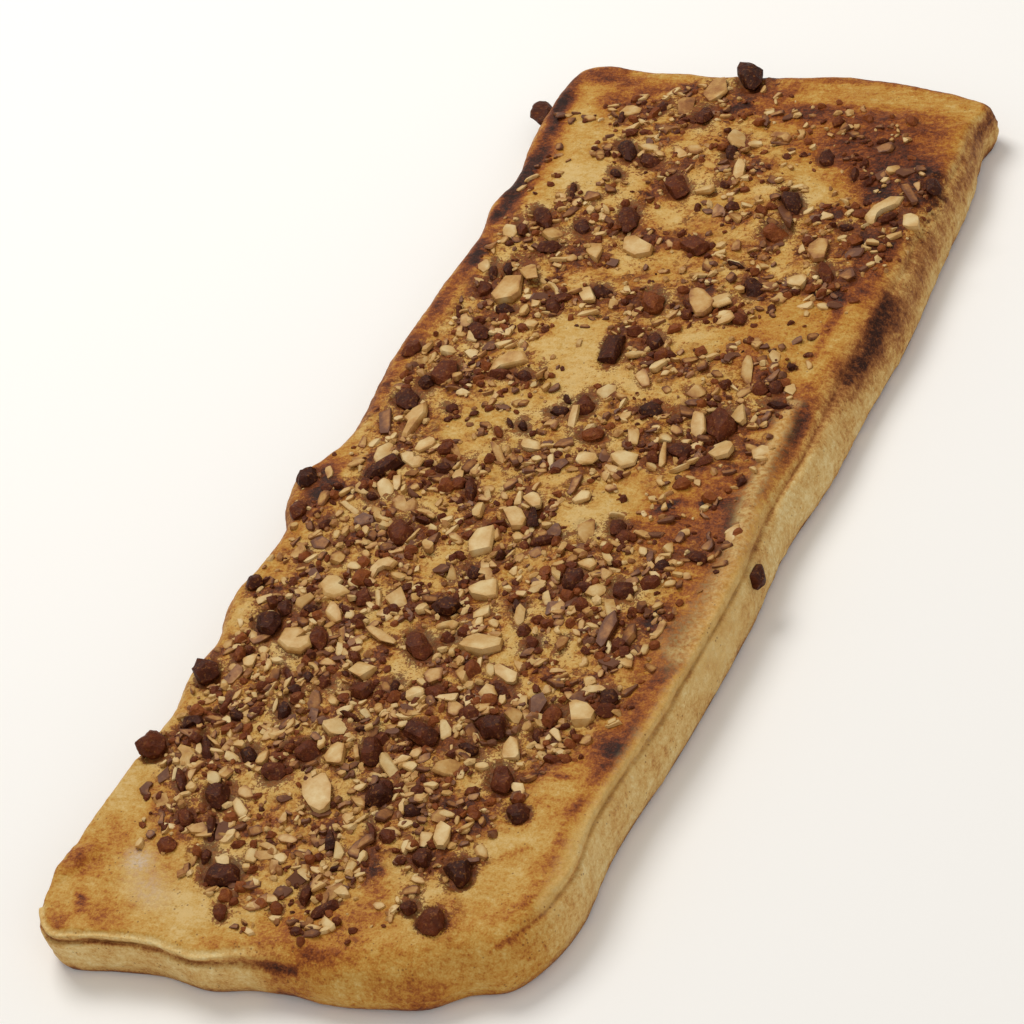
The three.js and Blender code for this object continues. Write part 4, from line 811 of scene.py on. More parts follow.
def build_slab():
    outer, inner, rnd, wide, tuck, seam, side, part = [], [], [], [], [], [], [], []
    for k, s in enumerate(SIDES):
        t = np.arange(COUNT[s]) / COUNT[s]
        outer.append(along(CURVES[s], t))
        a, b = np.array(MIDDLE[k]), np.array(MIDDLE[(k + 1) % 4])
        inner.append(a + (b - a) * t[:, None])
        rnd.append(table(SECTION[s], t, 1))
        wide.append(table(SECTION[s], t, 2))
        tuck.append(table(SECTION[s], t, 3))
        seam.append(table(SEAM[s], t, 1))
        side.append(np.full(COUNT[s], k))
        part.append(t)
    outer, inner = np.concatenate(outer), np.concatenate(inner)
    rnd, wide, tuck, seam, side, part = map(np.concatenate, (rnd, wide, tuck, seam, side, part))
    n = len(outer)
    span = np.hypot(*(inner - outer).T)
    unit = (inner - outer) / span[:, None]
    # the seam wanders a little
    sp = np.c_[outer, np.zeros(n)]
    wander = 0.05 * perlin(sp, 14.0, 11)
    seam = seam * (1 + 0.5 * perlin(sp, 9.0, 12))
    lower = np.where(side == 0, 0.22, 0.0)  # the near end's seam lies lower down

    pos, tag = [], []  # tag: quarter-round angle 0..1 on the edge, 1..2 down the wall, -1 on the top, 3 underneath
    depth_of = []

    # grid
    v, u = np.meshgrid(np.arange(NL + 1) / NL, np.arange(NS + 1) / NS, indexing="ij")
    c = [np.array(m) for m in MIDDLE]
    g = (1 - v)[..., None] * ((1 - u)[..., None] * c[0] + u[..., None] * c[1]) + v[..., None] * ((1 - u)[..., None] * c[3] + u[..., None] * c[2])
    g = g.reshape(-1, 2)
    pos.append(np.c_[g, crust_height(g[:, 0], g[:, 1])])
    tag.append(np.full(len(g), -1.0))
    info = [np.c_[np.full(len(g), -1), np.zeros(len(g)), np.full(len(g), 99.0)]]
    idx = np.arange((NL + 1) * (NS + 1)).reshape(NL + 1, NS + 1)
    quads = [np.stack([idx[:-1, :-1], idx[:-1, 1:], idx[1:, 1:], idx[1:, :-1]], -1).reshape(-1, 4)]
    ring = np.concatenate([idx[0, :-1], idx[:-1, NS], idx[NL, :0:-1], idx[:0:-1, 0]])
    total = len(g)
    rings = []

    def add(points, tags, depth):
        nonlocal ring, total
        new = np.arange(total, total + n)
        total += n
        pos.append(points)
        tag.append(np.full(n, tags))
        info.append(np.c_[side, part, depth])
        quads.append(np.stack([new, np.roll(new, -1), np.roll(ring, -1), ring], -1))
        rings.append(new)
        ring = new

    for r in range(1, ROWS_TOP + 1):
        f = r / ROWS_TOP
        d = span + (rnd - span) * f
        p = outer + unit * d[:, None]
        add(np.c_[p, crust_height(p[:, 0], p[:, 1])], -1.0, d)
    for a in ROUND:
        ang = a * np.pi / 2
        out = seam * seam_profile(a + wander - lower)
        d = rnd * (1 - np.sin(ang)) - out * np.sin(ang)
        p = outer + unit * d[:, None]
        t = crust_height(p[:, 0], p[:, 1])
        add(np.c_[p, wide + (t - wide) * np.cos(ang) + out * np.cos(ang)], a, d)
    for r in range(1, ROWS_WALL + 1):
        f = r / ROWS_WALL
        d = tuck * f**2.2
        p = outer + unit * d[:, None]
        add(np.c_[p, wide * (1 - f)], 1 + f, d)
    wall_rings = list(rings[ROWS_TOP - 1 :])
    # underneath: a few rings, then a grid-free middle closed to a spine along the length
    # a ring never passes the place where the rays from the corners meet
    for inset, share in ((1.0, 0.35), (3.0, 0.50), (8.0, 0.65), (20.0, 0.80)):
        d = np.minimum(tuck + inset, share * span)
        p = outer + unit * d[:, None]
        add(np.c_[p, np.zeros(n)], 3.0, d)
    spine_n = 60
    sy = np.linspace(MIDDLE[0][1] + 12, MIDDLE[3][1] - 12, spine_n)
    spine = np.arange(total, total + spine_n)
    pos.append(np.c_[np.zeros(spine_n) - 2, sy, np.zeros(spine_n)])
    tag.append(np.full(spine_n, 3.0))
    info.append(np.c_[np.full(spine_n, -1), np.zeros(spine_n), np.full(spine_n, 99.0)])
    last = pos[-2]
    near_i = np.abs(last[:, 1][:, None] - sy[None, :]).argmin(1)
    tris = []
    for i in range(n):
        j = (i + 1) % n
        a, b = near_i[i], near_i[j]
        tris.append((ring[j], ring[i], spine[a]))
        step = 1 if b > a else -1
        for k in range(a, b, step):
            tris.append((ring[j], spine[k], spine[k + step]))
    P = np.concatenate(pos)
    return P, np.concatenate(tag), np.concatenate(info), np.concatenate(quads), np.array(tris), wall_rings, outer


def vertex_normals(P, quads, tris):
    N = np.zeros_like(P)
    for a, b, c in ((0, 1, 2), (0, 2, 3)):
        f = quads[:, [a, b, c]]
        nn = np.cross(P[f[:, 1]] - P[f[:, 0]], P[f[:, 2]] - P[f[:, 0]])
        for k in range(3):
            np.add.at(N, f[:, k], nn)
    nn = np.cross(P[tris[:, 1]] - P[tris[:, 0]], P[tris[:, 2]] - P[tris[:, 0]])
    for k in range(3):
        np.add.at(N, tris[:, k], nn)
    return N / np.maximum(np.linalg.norm(N, axis=1, keepdims=True), 1e-9)


P, TAG, INFO, QUADS, TRIS, WALL_RINGS, OUTER = build_slab()
NRM = vertex_normals(P, QUADS, TRIS)
base = P.copy()
up = np.clip(NRM[:, 2], 0, 1)
x, y = base[:, 0], base[:, 1]
fine = relief(x, y)

# displacement: vertical on the top, outward on the walls, none underneath
edge = np.clip(1 - TAG, 0, 1)
edge[TAG < 0] = 1
edge[TAG > 2.5] = 0
wall_p = base.copy()
layers = 0.30 * perlin(np.c_[x / 9, y / 9, base[:, 2] / 1.5], 1.0, 21) + 0.38 * perlin(base, 6.0, 22) + 0.2 * perlin(base, 2.6, 23) + 0.09 * perlin(base, 1.3, 24)
foot = np.clip(base[:, 2] / 1.2, 0, 1)
wall_amount = np.where(TAG > 2.5, 0, np.where(TAG < 0, 0, np.clip(TAG / 0.5, 0, 1))) * foot
P[:, 2] += fine * np.where(TAG < 0, 1, np.clip(1 - TAG / 0.6, 0, 1)) * np.where(TAG > 2.5, 0, 1)
horizontal = NRM.copy()
horizontal[:, 2] *= 0.3
P += horizontal * (layers * wall_amount)[:, None]


def local(xv, yv, t, grow=1.0):
    a = math.radians(t["turn"])
    dx, dy = xv - t["x"], yv - t["y"]
    return (dx * math.cos(a) + dy * math.sin(a)) / (t["L"] / 2 * grow), (-dx * math.sin(a) + dy * math.cos(a)) / (t["W"] / 2 * grow)


# chips and nuts dent the dough, and it has risen a little round them; melted chocolate stains the crust round the
# chips, and painted contact shade darkens it round the nut pieces
stain_and_contact_shade = np.zeros(len(P))
wide_stain_and_shade = np.zeros(len(P))
dent = np.zeros(len(P))
topside = (TAG < 0.9)
order = np.argsort(y)
ys = y[order]
for t in toppings:
    reach = t["L"] / 2 + 5
    i0, i1 = np.searchsorted(ys, [t["y"] - reach, t["y"] + reach])
    sel = order[i0:i1]
    sel = sel[topside[sel] & (np.abs(x[sel] - t["x"]) < reach)]
    if not len(sel):
        continue
    u, v = local(x[sel], y[sel], t)
    q = np.sqrt(u * u + v * v)
    size = math.sqrt(t["L"] * t["W"]) / 2
    away = (q - 1) * size
    k = min(1.0, t["H"] / 4)
    dent[sel] += -0.55 * k * np.exp(-((away / 1.1) ** 2)) * (away > 0) - 0.55 * k * (away <= 0)
    dent[sel] += 0.35 * k * np.exp(-(((away - 1.7) / 0.8) ** 2))
    if t["kind"] == "c":
        stain_and_contact_shade[sel] = np.maximum(stain_and_contact_shade[sel], 0.70 * np.exp(-np.maximum(away, 0) / 0.9) * min(1, size / 2.2))
        wide_stain_and_shade[sel] = np.maximum(wide_stain_and_shade[sel], 0.80 * np.exp(-np.maximum(away, 0) / 2.8) * min(1, size / 2.0))
    else:
        # painted contact shade: round each nut piece the crust is darkened where the piece touches it
        stain_and_contact_shade[sel] = np.maximum(stain_and_contact_shade[sel], 0.42 * np.exp(-np.maximum(away, 0) / 0.7))
        wide_stain_and_shade[sel] = np.maximum(wide_stain_and_shade[sel], 0.48 * np.exp(-np.maximum(away, 0) / 1.6))
fade = np.where(TAG < 0, 1, np.clip(1 - TAG / 0.7, 0, 1)) * topside
P[:, 2] += np.clip(dent, -1.1, 0.7) * fade

# how thickly the toppings lie here
dense = np.zeros(len(P))
for t in toppings:
    reach = 26.0
    i0, i1 = np.searchsorted(ys, [t["y"] - reach, t["y"] + reach])
    sel = order[i0:i1]
    sel = sel[np.abs(x[sel] - t["x"]) < reach]
    d2 = (x[sel] - t["x"]) ** 2 + (y[sel] - t["y"]) ** 2
    dense[sel] += t["L"] * t["W"] * np.exp(-d2 / (2 * 8.5**2))
dense /= 2 * math.pi * 8.5**2
p_flat = np.c_[x, y, np.zeros_like(x)]
busy = smooth((dense * (1 + 0.7 * perlin(p_flat, 9.0, 33)) - 0.10) / 0.16)
busy[TAG > 0.5] = 0
crumbly = 0.34 * perlin(p_flat, 2.6, 34) + 0.20 * np.abs(perlin(p_flat, 1.7, 35))
P[:, 2] += crumbly * busy * fade

def near_line(xv, yv, points, w0, w1):
    """How much each point belongs to a band round a line, 0 to 1."""
    q = np.array(points, float)
    seg = np.hypot(*np.diff(q, axis=0).T)
    total = seg.sum()
    best = np.full(len(xv), 99.0)
    where = np.zeros(len(xv))
    run = 0.0
    for (ax, ay), (bx, by), ln in zip(q[:-1], q[1:], seg):
        ux, uy = (bx - ax) / ln, (by - ay) / ln
        s = np.clip((xv - ax) * ux + (yv - ay) * uy, 0, ln)
        d = np.hypot(xv - ax - s * ux, yv - ay - s * uy)
        better = d < best
        best = np.where(better, d, best)
        where = np.where(better, (run + s) / total, where)
        run += ln
    return best / (w0 + (w1 - w0) * where), where


cream = np.zeros(len(P))
line_bake = np.zeros(len(P))
line_stain = np.zeros(len(P))
for what, w0, w1, change, points in LINES:
    q = np.array(points)
    sel = np.nonzero((TAG < 1.2) & (x > q[:, 0].min() - 12) & (x < q[:, 0].max() + 12) & (y > q[:, 1].min() - 12) & (y < q[:, 1].max() + 12))[0]
    xs, ysel = x[sel], y[sel]
    pn = np.c_[xs, ysel, np.full(len(sel), w0 * 7)]
    wob = 1 + 0.45 * perlin(pn, 6.0, 36) + 0.3 * perlin(pn, 2.6, 37)
    near, where = near_line(xs, ysel, points, w0, w1)
    m = np.exp(-np.clip(near * wob, 0, 9) ** 2.4)
    if what == "h":
        taper = 1.0 if len(points) < 3 else smooth(where / 0.22) * smooth((1 - where) / 0.22)
        P[sel, 2] += change * m * taper
    elif what == "c":
        cream[sel] = np.maximum(cream[sel], change * m)
    elif what == "s":
        line_stain[sel] = np.maximum(line_stain[sel], change * m)
    else:
        line_bake[sel] += change * m

# browning
bake = np.full(len(P), 0.40)
flour = np.zeros(len(P))
red = np.zeros(len(P))
for px, py, a, b, turn, change, what in PATCHES:
    r = math.radians(turn)
    dx, dy = x - px, y - py
    sel = np.abs(dx) + np.abs(dy) < 3.2 * a + 6
    dxs, dys = dx[sel], dy[sel]
    wob = 1 + 0.55 * perlin(np.c_[x[sel], y[sel], np.full(sel.sum(), px)], max(3.0, 0.8 * b), 31)
    u = (dxs * math.cos(r) + dys * math.sin(r)) / (a * 1.05)
    v = (-dxs * math.sin(r) + dys * math.cos(r)) / (b * 1.05)
    w = np.exp(-((u * u + v * v) * wob) ** 1.3)
    w *= topside[sel] | (what == "b")
    if what == "b":
        bake[sel] += change * w
    elif what == "s":
        red[sel] = np.maximum(red[sel], change * w)
    else:
        flour[sel] = np.maximum(flour[sel], change * w)
p3 = np.c_[x, y, base[:, 2]]
pale_here = np.clip(0.40 - bake, 0, 1)
stain_and_contact_shade = np.maximum(stain_and_contact_shade, wide_stain_and_shade * busy)
busy *= 1 - 0.50 * smooth((pale_here - 0.05) / 0.16)
busy *= 1 - np.clip(cream, 0, 1)
clumps = perlin(p_flat, 11.0, 81)
bake += 0.05 * busy + (0.56 * clumps + 0.26 * perlin(p_flat, 5.5, 84)) * busy
height_detail = fine - 0.62 * perlin(np.c_[x, y, np.zeros_like(x)], 15.0, 1)
bake -= (0.04 + 0.09 * smooth((-95 - y) / 40)) * (1 - busy)
quiet = 0.6 + 0.4 * busy
bake += quiet * (0.10 * perlin(p3, 20.0, 41) + 0.11 * perlin(p3, 8.0, 42) + 0.10 * perlin(p3, 3.6, 43)) + 0.12 * np.clip(height_detail, -0.5, 0.6) * (TAG < 0.5)
# painted shade: the crust is darker in the dents under and round the toppings, and lighter on the risen ring round
# them
bake += -0.07 * np.clip(dent, -1, 0.5)

SIDE, PART, DEPTH = INFO[:, 0].astype(int), INFO[:, 1], INFO[:, 2]
on_edge = (TAG >= 0) & (TAG < 2.5)
wall = np.where(on_edge, np.clip((TAG - 0.12) / 0.3, 0, 1), 0)
skin = np.where(SIDE == 0, smooth((PART - 0.44) / 0.16), 0) + np.where(SIDE == 1, 1 - smooth((PART - 0.015) / 0.06), 0)
wall = wall * (1 - 0.9 * skin)
wall[TAG > 2.5] = 1
# the wall keeps a pale band with its own browning; its foot and the far and left edges brown more
zz = base[:, 2]
wall_bake = np.full(len(P), 0.24)
wall_bake += 0.42 * np.clip(1 - zz / 3.0, 0, 1) ** 1.2
wall_bake += 0.10 * perlin(np.c_[x / 10, y / 10, zz / 1.4], 1.0, 44) + 0.10 * perlin(p3, 7.0, 45) + 0.07 * perlin(p3, 2.5, 46)
right = SIDE == 1
mid = right & (PART > 0.52)
wall_bake += np.where(mid, 0.16 * smooth((PART - 0.52) / 0.12) * (TAG < 1.0) * np.exp(-((TAG - 0.62) / 0.28) ** 2) * 2.0, 0)
streak = perlin(np.c_[x / 2.2, y / 2.2, zz / 9], 1.0, 51)
wall_bake += np.where(right, smooth((PART - 0.62) / 0.1) * (0.03 + 0.16 * streak + 0.12 * smooth((PART - 0.88) / 0.1)), 0)
left_dark = (SIDE == 3) * (0.21 - 0.10 * smooth((PART - 0.55) / 0.3))
wall_bake += np.where(SIDE == 3, left_dark * (0.55 + 0.45 * smooth((zz - 1) / 5)), 0)
wall_bake += np.where(SIDE == 2, 0.28, 0)
# the fold's own edge is the palest line
ridge = np.exp(-((TAG - 0.30) / 0.11) ** 2)
wall_bake += np.where(right, -0.16 * ridge * (1 - smooth((PART - 0.55) / 0.12)), 0) + np.where((SIDE == 0) & (PART < 0.62), -0.14 * ridge, 0)
bake += line_bake
bake = np.where(on_edge & (skin > 0), bake + skin * (0.26 * np.clip(1 - zz / 3.2, 0, 1) + 0.03), bake)
bake = bake * (1 - wall) + (wall_bake + line_bake * np.clip(1.25 - TAG / 0.8, 0, 1)) * wall
# seam line: brown shadow in the groove
seam_here = np.where((right & (PART < 0.6)) | ((SIDE == 0) & (PART < 0.6)), np.exp(-((TAG - np.where(SIDE == 0, 0.63, 0.41)) / np.where(SIDE == 0, 0.07, 0.05)) ** 2), 0)
seam_here *= np.where(SIDE == 0, 1.5, 1.0)
bake += 0.30 * seam_here * on_edge
# an orange line on the top just inside the folds
inside_edge = right & (TAG < 0.1) & (PART < 0.62)
bake += np.where(inside_edge, 0.14 * np.exp(-(((DEPTH - 7.5) / 3.2) ** 2)), 0)
# a pale golden band on the top, just inside the dark far and left rims
rim_band = np.exp(-(((DEPTH - 8.0) / 4.5) ** 2)) * (TAG < 0.2)
bake += np.where((SIDE == 2) | ((SIDE == 3) & (PART < 0.75)), -0.05 * rim_band, 0)
rim_line = np.exp(-((DEPTH / 2.6) ** 2)) * (TAG < 1.0) * (TAG >= 0)
bake += np.where((SIDE == 2) | (SIDE == 3), 0.22 * rim_line * (1 - 0.6 * (SIDE == 3) * smooth((PART - 0.6) / 0.3)), 0)
under = TAG > 2.5
bake[under] = 0.58 + 0.12 * perlin(p3[under], 12.0, 47) + 0.08 * perlin(p3[under], 4.0, 48)
stain_and_contact_shade *= np.where(TAG < 0, 1, np.clip(1 - TAG / 0.35, 0, 1))
stain_and_contact_shade = np.maximum(stain_and_contact_shade, line_stain)
stain_and_contact_shade = np.clip(np.maximum(stain_and_contact_shade * (1 + 0.4 * perlin(p3, 2.2, 49)), red * (1 + 0.6 * perlin(p3, 4.0, 50))), 0, 1)
bake = np.clip(bake, 0, 0.96)


def new_mesh(name, points, quads=None, tris=None):
    quads = np.zeros((0, 4), int) if quads is None else quads
    tris = np.zeros((0, 3), int) if tris is None else tris
    me = bpy.data.meshes.new(name)
    me.vertices.add(len(points))
    me.vertices.foreach_set("co", np.asarray(points, np.float32).ravel())
    loops = np.concatenate([quads.ravel(), tris.ravel()]).astype(np.int32)
    me.loops.add(len(loops))
    me.loops.foreach_set("vertex_index", loops)
    starts = np.concatenate([np.arange(len(quads)) * 4, len(quads) * 4 + np.arange(len(tris)) * 3]).astype(np.int32)
    me.polygons.add(len(starts))
    me.polygons.foreach_set("loop_start", starts)
    me.polygons.foreach_set("use_smooth", np.ones(len(starts), bool))
    me.update(calc_edges=True)
    me.validate()
    return me


def put(name, me, material):
    ob = bpy.data.objects.new(name, me)
    bpy.context.scene.collection.objects.link(ob)
    me.materials.append(material)
    return ob


def float_attribute(me, name, values):
    at = me.attributes.new(name, "FLOAT", "POINT")
    at.data.foreach_set("value", np.asarray(values, np.float32))


# ---- materials -----------------------------------------------------------------
def srgb(r, g, b, gain=1.0):
    def lin(c):
        c = c / 255
        return (c / 12.92 if c <= 0.04045 else ((c + 0.055) / 1.055) ** 2.4) * gain

    return (lin(r), lin(g), lin(b), 1.0)


class Nodes:
    """Short names for the shader nodes used here."""

    def __init__(self, material):
        material.use_nodes = True
        self.t = material.node_tree
        self.t.nodes.clear()
        self.out = self.t.nodes.new("ShaderNodeOutputMaterial")
        self.bsdf = self.t.nodes.new("ShaderNodeBsdfPrincipled")
        self.t.links.new(self.bsdf.outputs[0], self.out.inputs[0])
        self.coord = self.t.nodes.new("ShaderNodeTexCoord").outputs["Object"]

    def link(self, a, b):
        self.t.links.new(a, b)

    def set(self, socket, value):
        if hasattr(value, "links"):
            self.link(value, socket)
        else:
            socket.default_value = value

    def attr(self, name):
        n = self.t.nodes.new("ShaderNodeAttribute")
        n.attribute_name = name
        return n.outputs["Fac"]

    def noise(self, mm, detail=3.0, rough=0.55, offset=0.0, stretch=None):
        m = self.t.nodes.new("ShaderNodeMapping")
        m.inputs["Location"].default_value = (offset, offset * 0.7, offset * 1.3)
        s = 1000.0 / mm
        m.inputs["Scale"].default_value = (s, s, s) if stretch is None else (s / stretch[0], s / stretch[1], s / stretch[2])
        self.link(self.coord, m.inputs["Vector"])
        n = self.t.nodes.new("ShaderNodeTexNoise")
        n.inputs["Scale"].default_value = 1.0
        n.inputs["Detail"].default_value = detail
        n.inputs["Roughness"].default_value = rough
        self.link(m.outputs[0], n.inputs["Vector"])
        return n.outputs["Fac"]

    def cells(self, mm, offset=0.0):
        m = self.t.nodes.new("ShaderNodeMapping")
        m.inputs["Location"].default_value = (offset, offset * 0.7, offset * 1.3)
        s = 1000.0 / mm
        m.inputs["Scale"].default_value = (s, s, s)
        self.link(self.coord, m.inputs["Vector"])
        n = self.t.nodes.new("ShaderNodeTexVoronoi")
        n.inputs["Scale"].default_value = 1.0
        self.link(m.outputs[0], n.inputs["Vector"])
        return n

    def first(self, colour):
        n = self.t.nodes.new("ShaderNodeSeparateColor")
        self.link(colour, n.inputs[0])
        return n.outputs[0]

    def math(self, op, a, b=0.0, c=0.0, clamp=False):
        n = self.t.nodes.new("ShaderNodeMath")
        n.operation = op
        n.use_clamp = clamp
        for socket, value in zip(n.inputs, (a, b, c)):
            self.set(socket, value)
        return n.outputs[0]

    def ramp(self, value, stops, interpolation="LINEAR"):
        n = self.t.nodes.new("ShaderNodeValToRGB")
        n.color_ramp.interpolation = interpolation
        e = n.color_ramp.elements
        while len(e) < len(stops):
            e.new(0.5)
        for k, (p, colour) in enumerate(sorted(stops, key=lambda s: s[0])):
            e[k].position = p
            e[k].color = colour if hasattr(colour, "__len__") else (colour, colour, colour, 1)
        self.set(n.inputs[0], value)
        return n.outputs[0]

    def mix(self, factor, a, b, mode="MIX"):
        n = self.t.nodes.new("ShaderNodeMix")
        n.data_type = "RGBA"
        n.blend_type = mode
        self.set(n.inputs[0], factor)
        self.set(n.inputs[6], a)
        self.set(n.inputs[7], b)
        return n.outputs[2]

    def bump(self, height, distance_mm, strength=1.0, normal=None):
        n = self.t.nodes.new("ShaderNodeBump")
        n.inputs["Distance"].default_value = distance_mm / 1000
        n.inputs["Strength"].default_value = strength
        self.link(height, n.inputs["Height"])
        if normal is not None:
            self.link(normal, n.inputs["Normal"])
        return n.outputs[0]


GAIN = 0.95


def crust_material():
    m = bpy.data.materials.new("baked_crust")
    n = Nodes(m)
    b = n.attr("bake")
    big = n.noise(9.0, 4.0, 0.6, 3.1)
    mid_ = n.noise(3.0, 4.0, 0.6, 7.7)
    small = n.noise(1.1, 3.0, 0.6, 1.9)
    grain = n.noise(0.45, 2.0, 0.6, 5.5)
    lively = n.math("ADD", n.math("MULTIPLY", n.attr("busy"), 0.55), 0.50)
    b = n.math("ADD", b, n.math("MULTIPLY", n.math("SUBTRACT", big, 0.5), 0.42))
    b = n.math("ADD", b, n.math("MULTIPLY", n.math("SUBTRACT", mid_, 0.5), n.math("MULTIPLY", lively, 0.66)))
    b = n.math("ADD", b, n.math("MULTIPLY", n.math("SUBTRACT", small, 0.5), 0.58))
    b = n.math("ADD", b, n.math("MULTIPLY", n.math("SUBTRACT", grain, 0.5), 0.46))
    flakes = n.noise(1.6, 3.0, 0.6, 3.3, stretch=(2.6, 0.9, 1.0))
    b = n.math("ADD", b, n.math("MULTIPLY", n.math("SUBTRACT", flakes, 0.5), 0.40))
    colour = n.ramp(
        b,
        [
            (0.00, srgb(209, 177, 115, GAIN)),
            (0.15, srgb(200, 162, 90, GAIN)),
            (0.30, srgb(190, 143, 64, GAIN)),
            (0.44, srgb(178, 119, 42, GAIN)),
            (0.58, srgb(152, 84, 28, GAIN)),
            (0.72, srgb(116, 55, 20, GAIN)),
            (0.86, srgb(76, 34, 15, GAIN)),
            (1.00, srgb(40, 18, 10, GAIN)),
        ],
    )
    # the folded side is paler and greyer, baked less than the top
    side_colour = n.ramp(
        b,
        [
            (0.00, srgb(228, 206, 152, GAIN)),
            (0.18, srgb(216, 184, 122, GAIN)),
            (0.36, srgb(200, 157, 92, GAIN)),
            (0.54, srgb(166, 114, 62, GAIN)),
            (0.74, srgb(122, 70, 35, GAIN)),
            (0.90, srgb(76, 40, 22, GAIN)),
            (1.00, srgb(48, 24, 15, GAIN)),
        ],
    )
    colour = n.mix(n.math("MULTIPLY", n.attr("wall"), 0.85), colour, side_colour)
    cream_ = n.attr("cream")
    cream_ = n.math("MULTIPLY", cream_, n.ramp(n.math("ADD", n.math("MULTIPLY", small, 0.5), n.math("MULTIPLY", mid_, 0.5)), [(0.36, 0.55), (0.56, 1.0)]))
    colour = n.mix(n.math("MULTIPLY", cream_, 0.9), colour, n.ramp(small, [(0.3, srgb(178, 130, 64, GAIN)), (0.5, srgb(210, 172, 104, GAIN)), (0.7, srgb(222, 192, 130, GAIN))]))
    # crumbs of nut, chocolate and crust stuck to it where the toppings lie
    busy_ = n.attr("busy")
    cell_a, cell_b = n.cells(2.3, 4.4), n.cells(1.25, 8.1)
    pick_a, pick_b = n.first(cell_a.outputs["Color"]), n.first(cell_b.outputs["Color"])
    crumb_stops = [(0.0, srgb(208, 168, 98, GAIN)), (0.22, srgb(184, 130, 58, GAIN)), (0.42, srgb(150, 86, 34, GAIN)), (0.58, srgb(112, 54, 23, GAIN)), (0.76, srgb(76, 34, 17, GAIN)), (1.0, srgb(46, 21, 12, GAIN))]
    lift = n.math("SUBTRACT", n.math("MULTIPLY", n.math("SUBTRACT", b, 0.5), 1.9), 0.02)
    col_a = n.ramp(n.math("ADD", pick_a, lift, clamp=True), crumb_stops)
    col_b = n.ramp(n.math("ADD", pick_b, lift, clamp=True), crumb_stops)
    crumb_colour = n.mix(n.ramp(small, [(0.44, 0.0), (0.56, 1.0)]), col_a, col_b)
    colour = n.mix(n.math("MULTIPLY", busy_, n.ramp(mid_, [(0.38, 0.20), (0.60, 0.78)])), colour, crumb_colour)
    # dark specks of caramelised sugar
    speck = n.cells(1.5, 2.2)
    dots = n.math("LESS_THAN", speck.outputs["Distance"], 0.17)
    pick = n.math("GREATER_THAN", n.noise(6.0, 2.0, 0.5, 9.4), 0.56)
    colour = n.mix(n.math("MULTIPLY", n.math("MULTIPLY", dots, pick), 0.55), colour, srgb(96, 50, 26, GAIN))
    # chocolate that melted into the crust and red-brown stains, with painted contact shade round the nut pieces
    stain_and_shade_level = n.attr("stain_and_contact_shade")
    stain_and_shade_level = n.math("ADD", stain_and_shade_level, n.math("MULTIPLY", n.math("SUBTRACT", mid_, 0.5), 0.6))
    stain_and_shade_level = n.math("ADD", stain_and_shade_level, n.math("MULTIPLY", n.math("SUBTRACT", small, 0.5), 0.95))
    stain_and_shade_level = n.math("ADD", stain_and_shade_level, n.math("MULTIPLY", n.math("SUBTRACT", grain, 0.5), 0.9))
    stain_and_shade_amount = n.ramp(stain_and_shade_level, [(0.30, 0.0), (0.42, 0.78), (0.95, 0.95)])
    colour = n.mix(stain_and_shade_amount, colour, n.ramp(n.math("ADD", n.math("MULTIPLY", small, 0.6), n.math("MULTIPLY", mid_, 0.4)), [(0.36, srgb(64, 30, 16, GAIN)), (0.5, srgb(98, 48, 21, GAIN)), (0.64, srgb(142, 80, 32, GAIN))]))
    fl = n.attr("flour")
    fl = n.math("MULTIPLY", fl, n.ramp(small, [(0.38, 0.2), (0.62, 1.0)]))
    colour = n.mix(fl, colour, srgb(205, 190, 172, GAIN))
    n.link(colour, n.bsdf.inputs["Base Color"])
    rough = n.math("ADD", n.math("MULTIPLY", mid_, 0.30), 0.36)
    rough = n.math("ADD", rough, n.math("MULTIPLY", n.attr("wall"), 0.16), clamp=True)
    n.link(rough, n.bsdf.inputs["Roughness"])
    n.bsdf.inputs["Specular IOR Level"].default_value = 0.14
    h = n.math("ADD", n.math("MULTIPLY", mid_, 0.5), n.math("MULTIPLY", small, 0.32))
    h = n.math("ADD", h, n.math("MULTIPLY", grain, 0.20))
    h = n.math("ADD", h, n.math("MULTIPLY", flakes, 0.34))
    domes = n.math("MULTIPLY", busy_, n.math("SUBTRACT", 0.9, n.math("ADD", n.math("MULTIPLY", cell_a.outputs["Distance"], 0.6), n.math("MULTIPLY", cell_b.outputs["Distance"], 0.5))))
    h = n.math("ADD", h, n.math("MULTIPLY", domes, 0.55))
    n.link(n.bump(h, 0.9, 0.8), n.bsdf.inputs["Normal"])
    return m


def chocolate_material():
    m = bpy.data.materials.new("dark_chocolate")
    n = Nodes(m)
    tone = n.attr("tone")
    a = n.noise(2.2, 4.0, 0.6, 4.2)
    c = n.noise(0.7, 3.0, 0.6, 8.8)
    v = n.math("ADD", n.math("MULTIPLY", tone, 0.62), n.math("MULTIPLY", a, 0.42))
    v = n.math("ADD", v, n.math("MULTIPLY", n.math("SUBTRACT", c, 0.5), 0.34))
    colour = n.ramp(
        v,
        [
            (0.10, srgb(38, 16, 8, GAIN)),
            (0.34, srgb(66, 27, 11, GAIN)),
            (0.58, srgb(98, 44, 17, GAIN)),
            (0.82, srgb(134, 70, 27, GAIN)),
            (1.0, srgb(164, 102, 42, GAIN)),
        ],
    )
    dust = n.ramp(n.noise(0.9, 3.0, 0.65, 6.1), [(0.56, 0.0), (0.68, 0.5)])
    colour = n.mix(dust, colour, srgb(158, 100, 46, GAIN))
    n.link(colour, n.bsdf.inputs["Base Color"])
    n.link(n.math("ADD", n.math("MULTIPLY", a, 0.5), 0.32), n.bsdf.inputs["Roughness"])
    n.bsdf.inputs["Specular IOR Level"].default_value = 0.14
    h = n.math("ADD", n.math("MULTIPLY", a, 0.6), n.math("MULTIPLY", c, 0.25))
    n.link(n.bump(h, 1.1, 0.9), n.bsdf.inputs["Normal"])
    return m


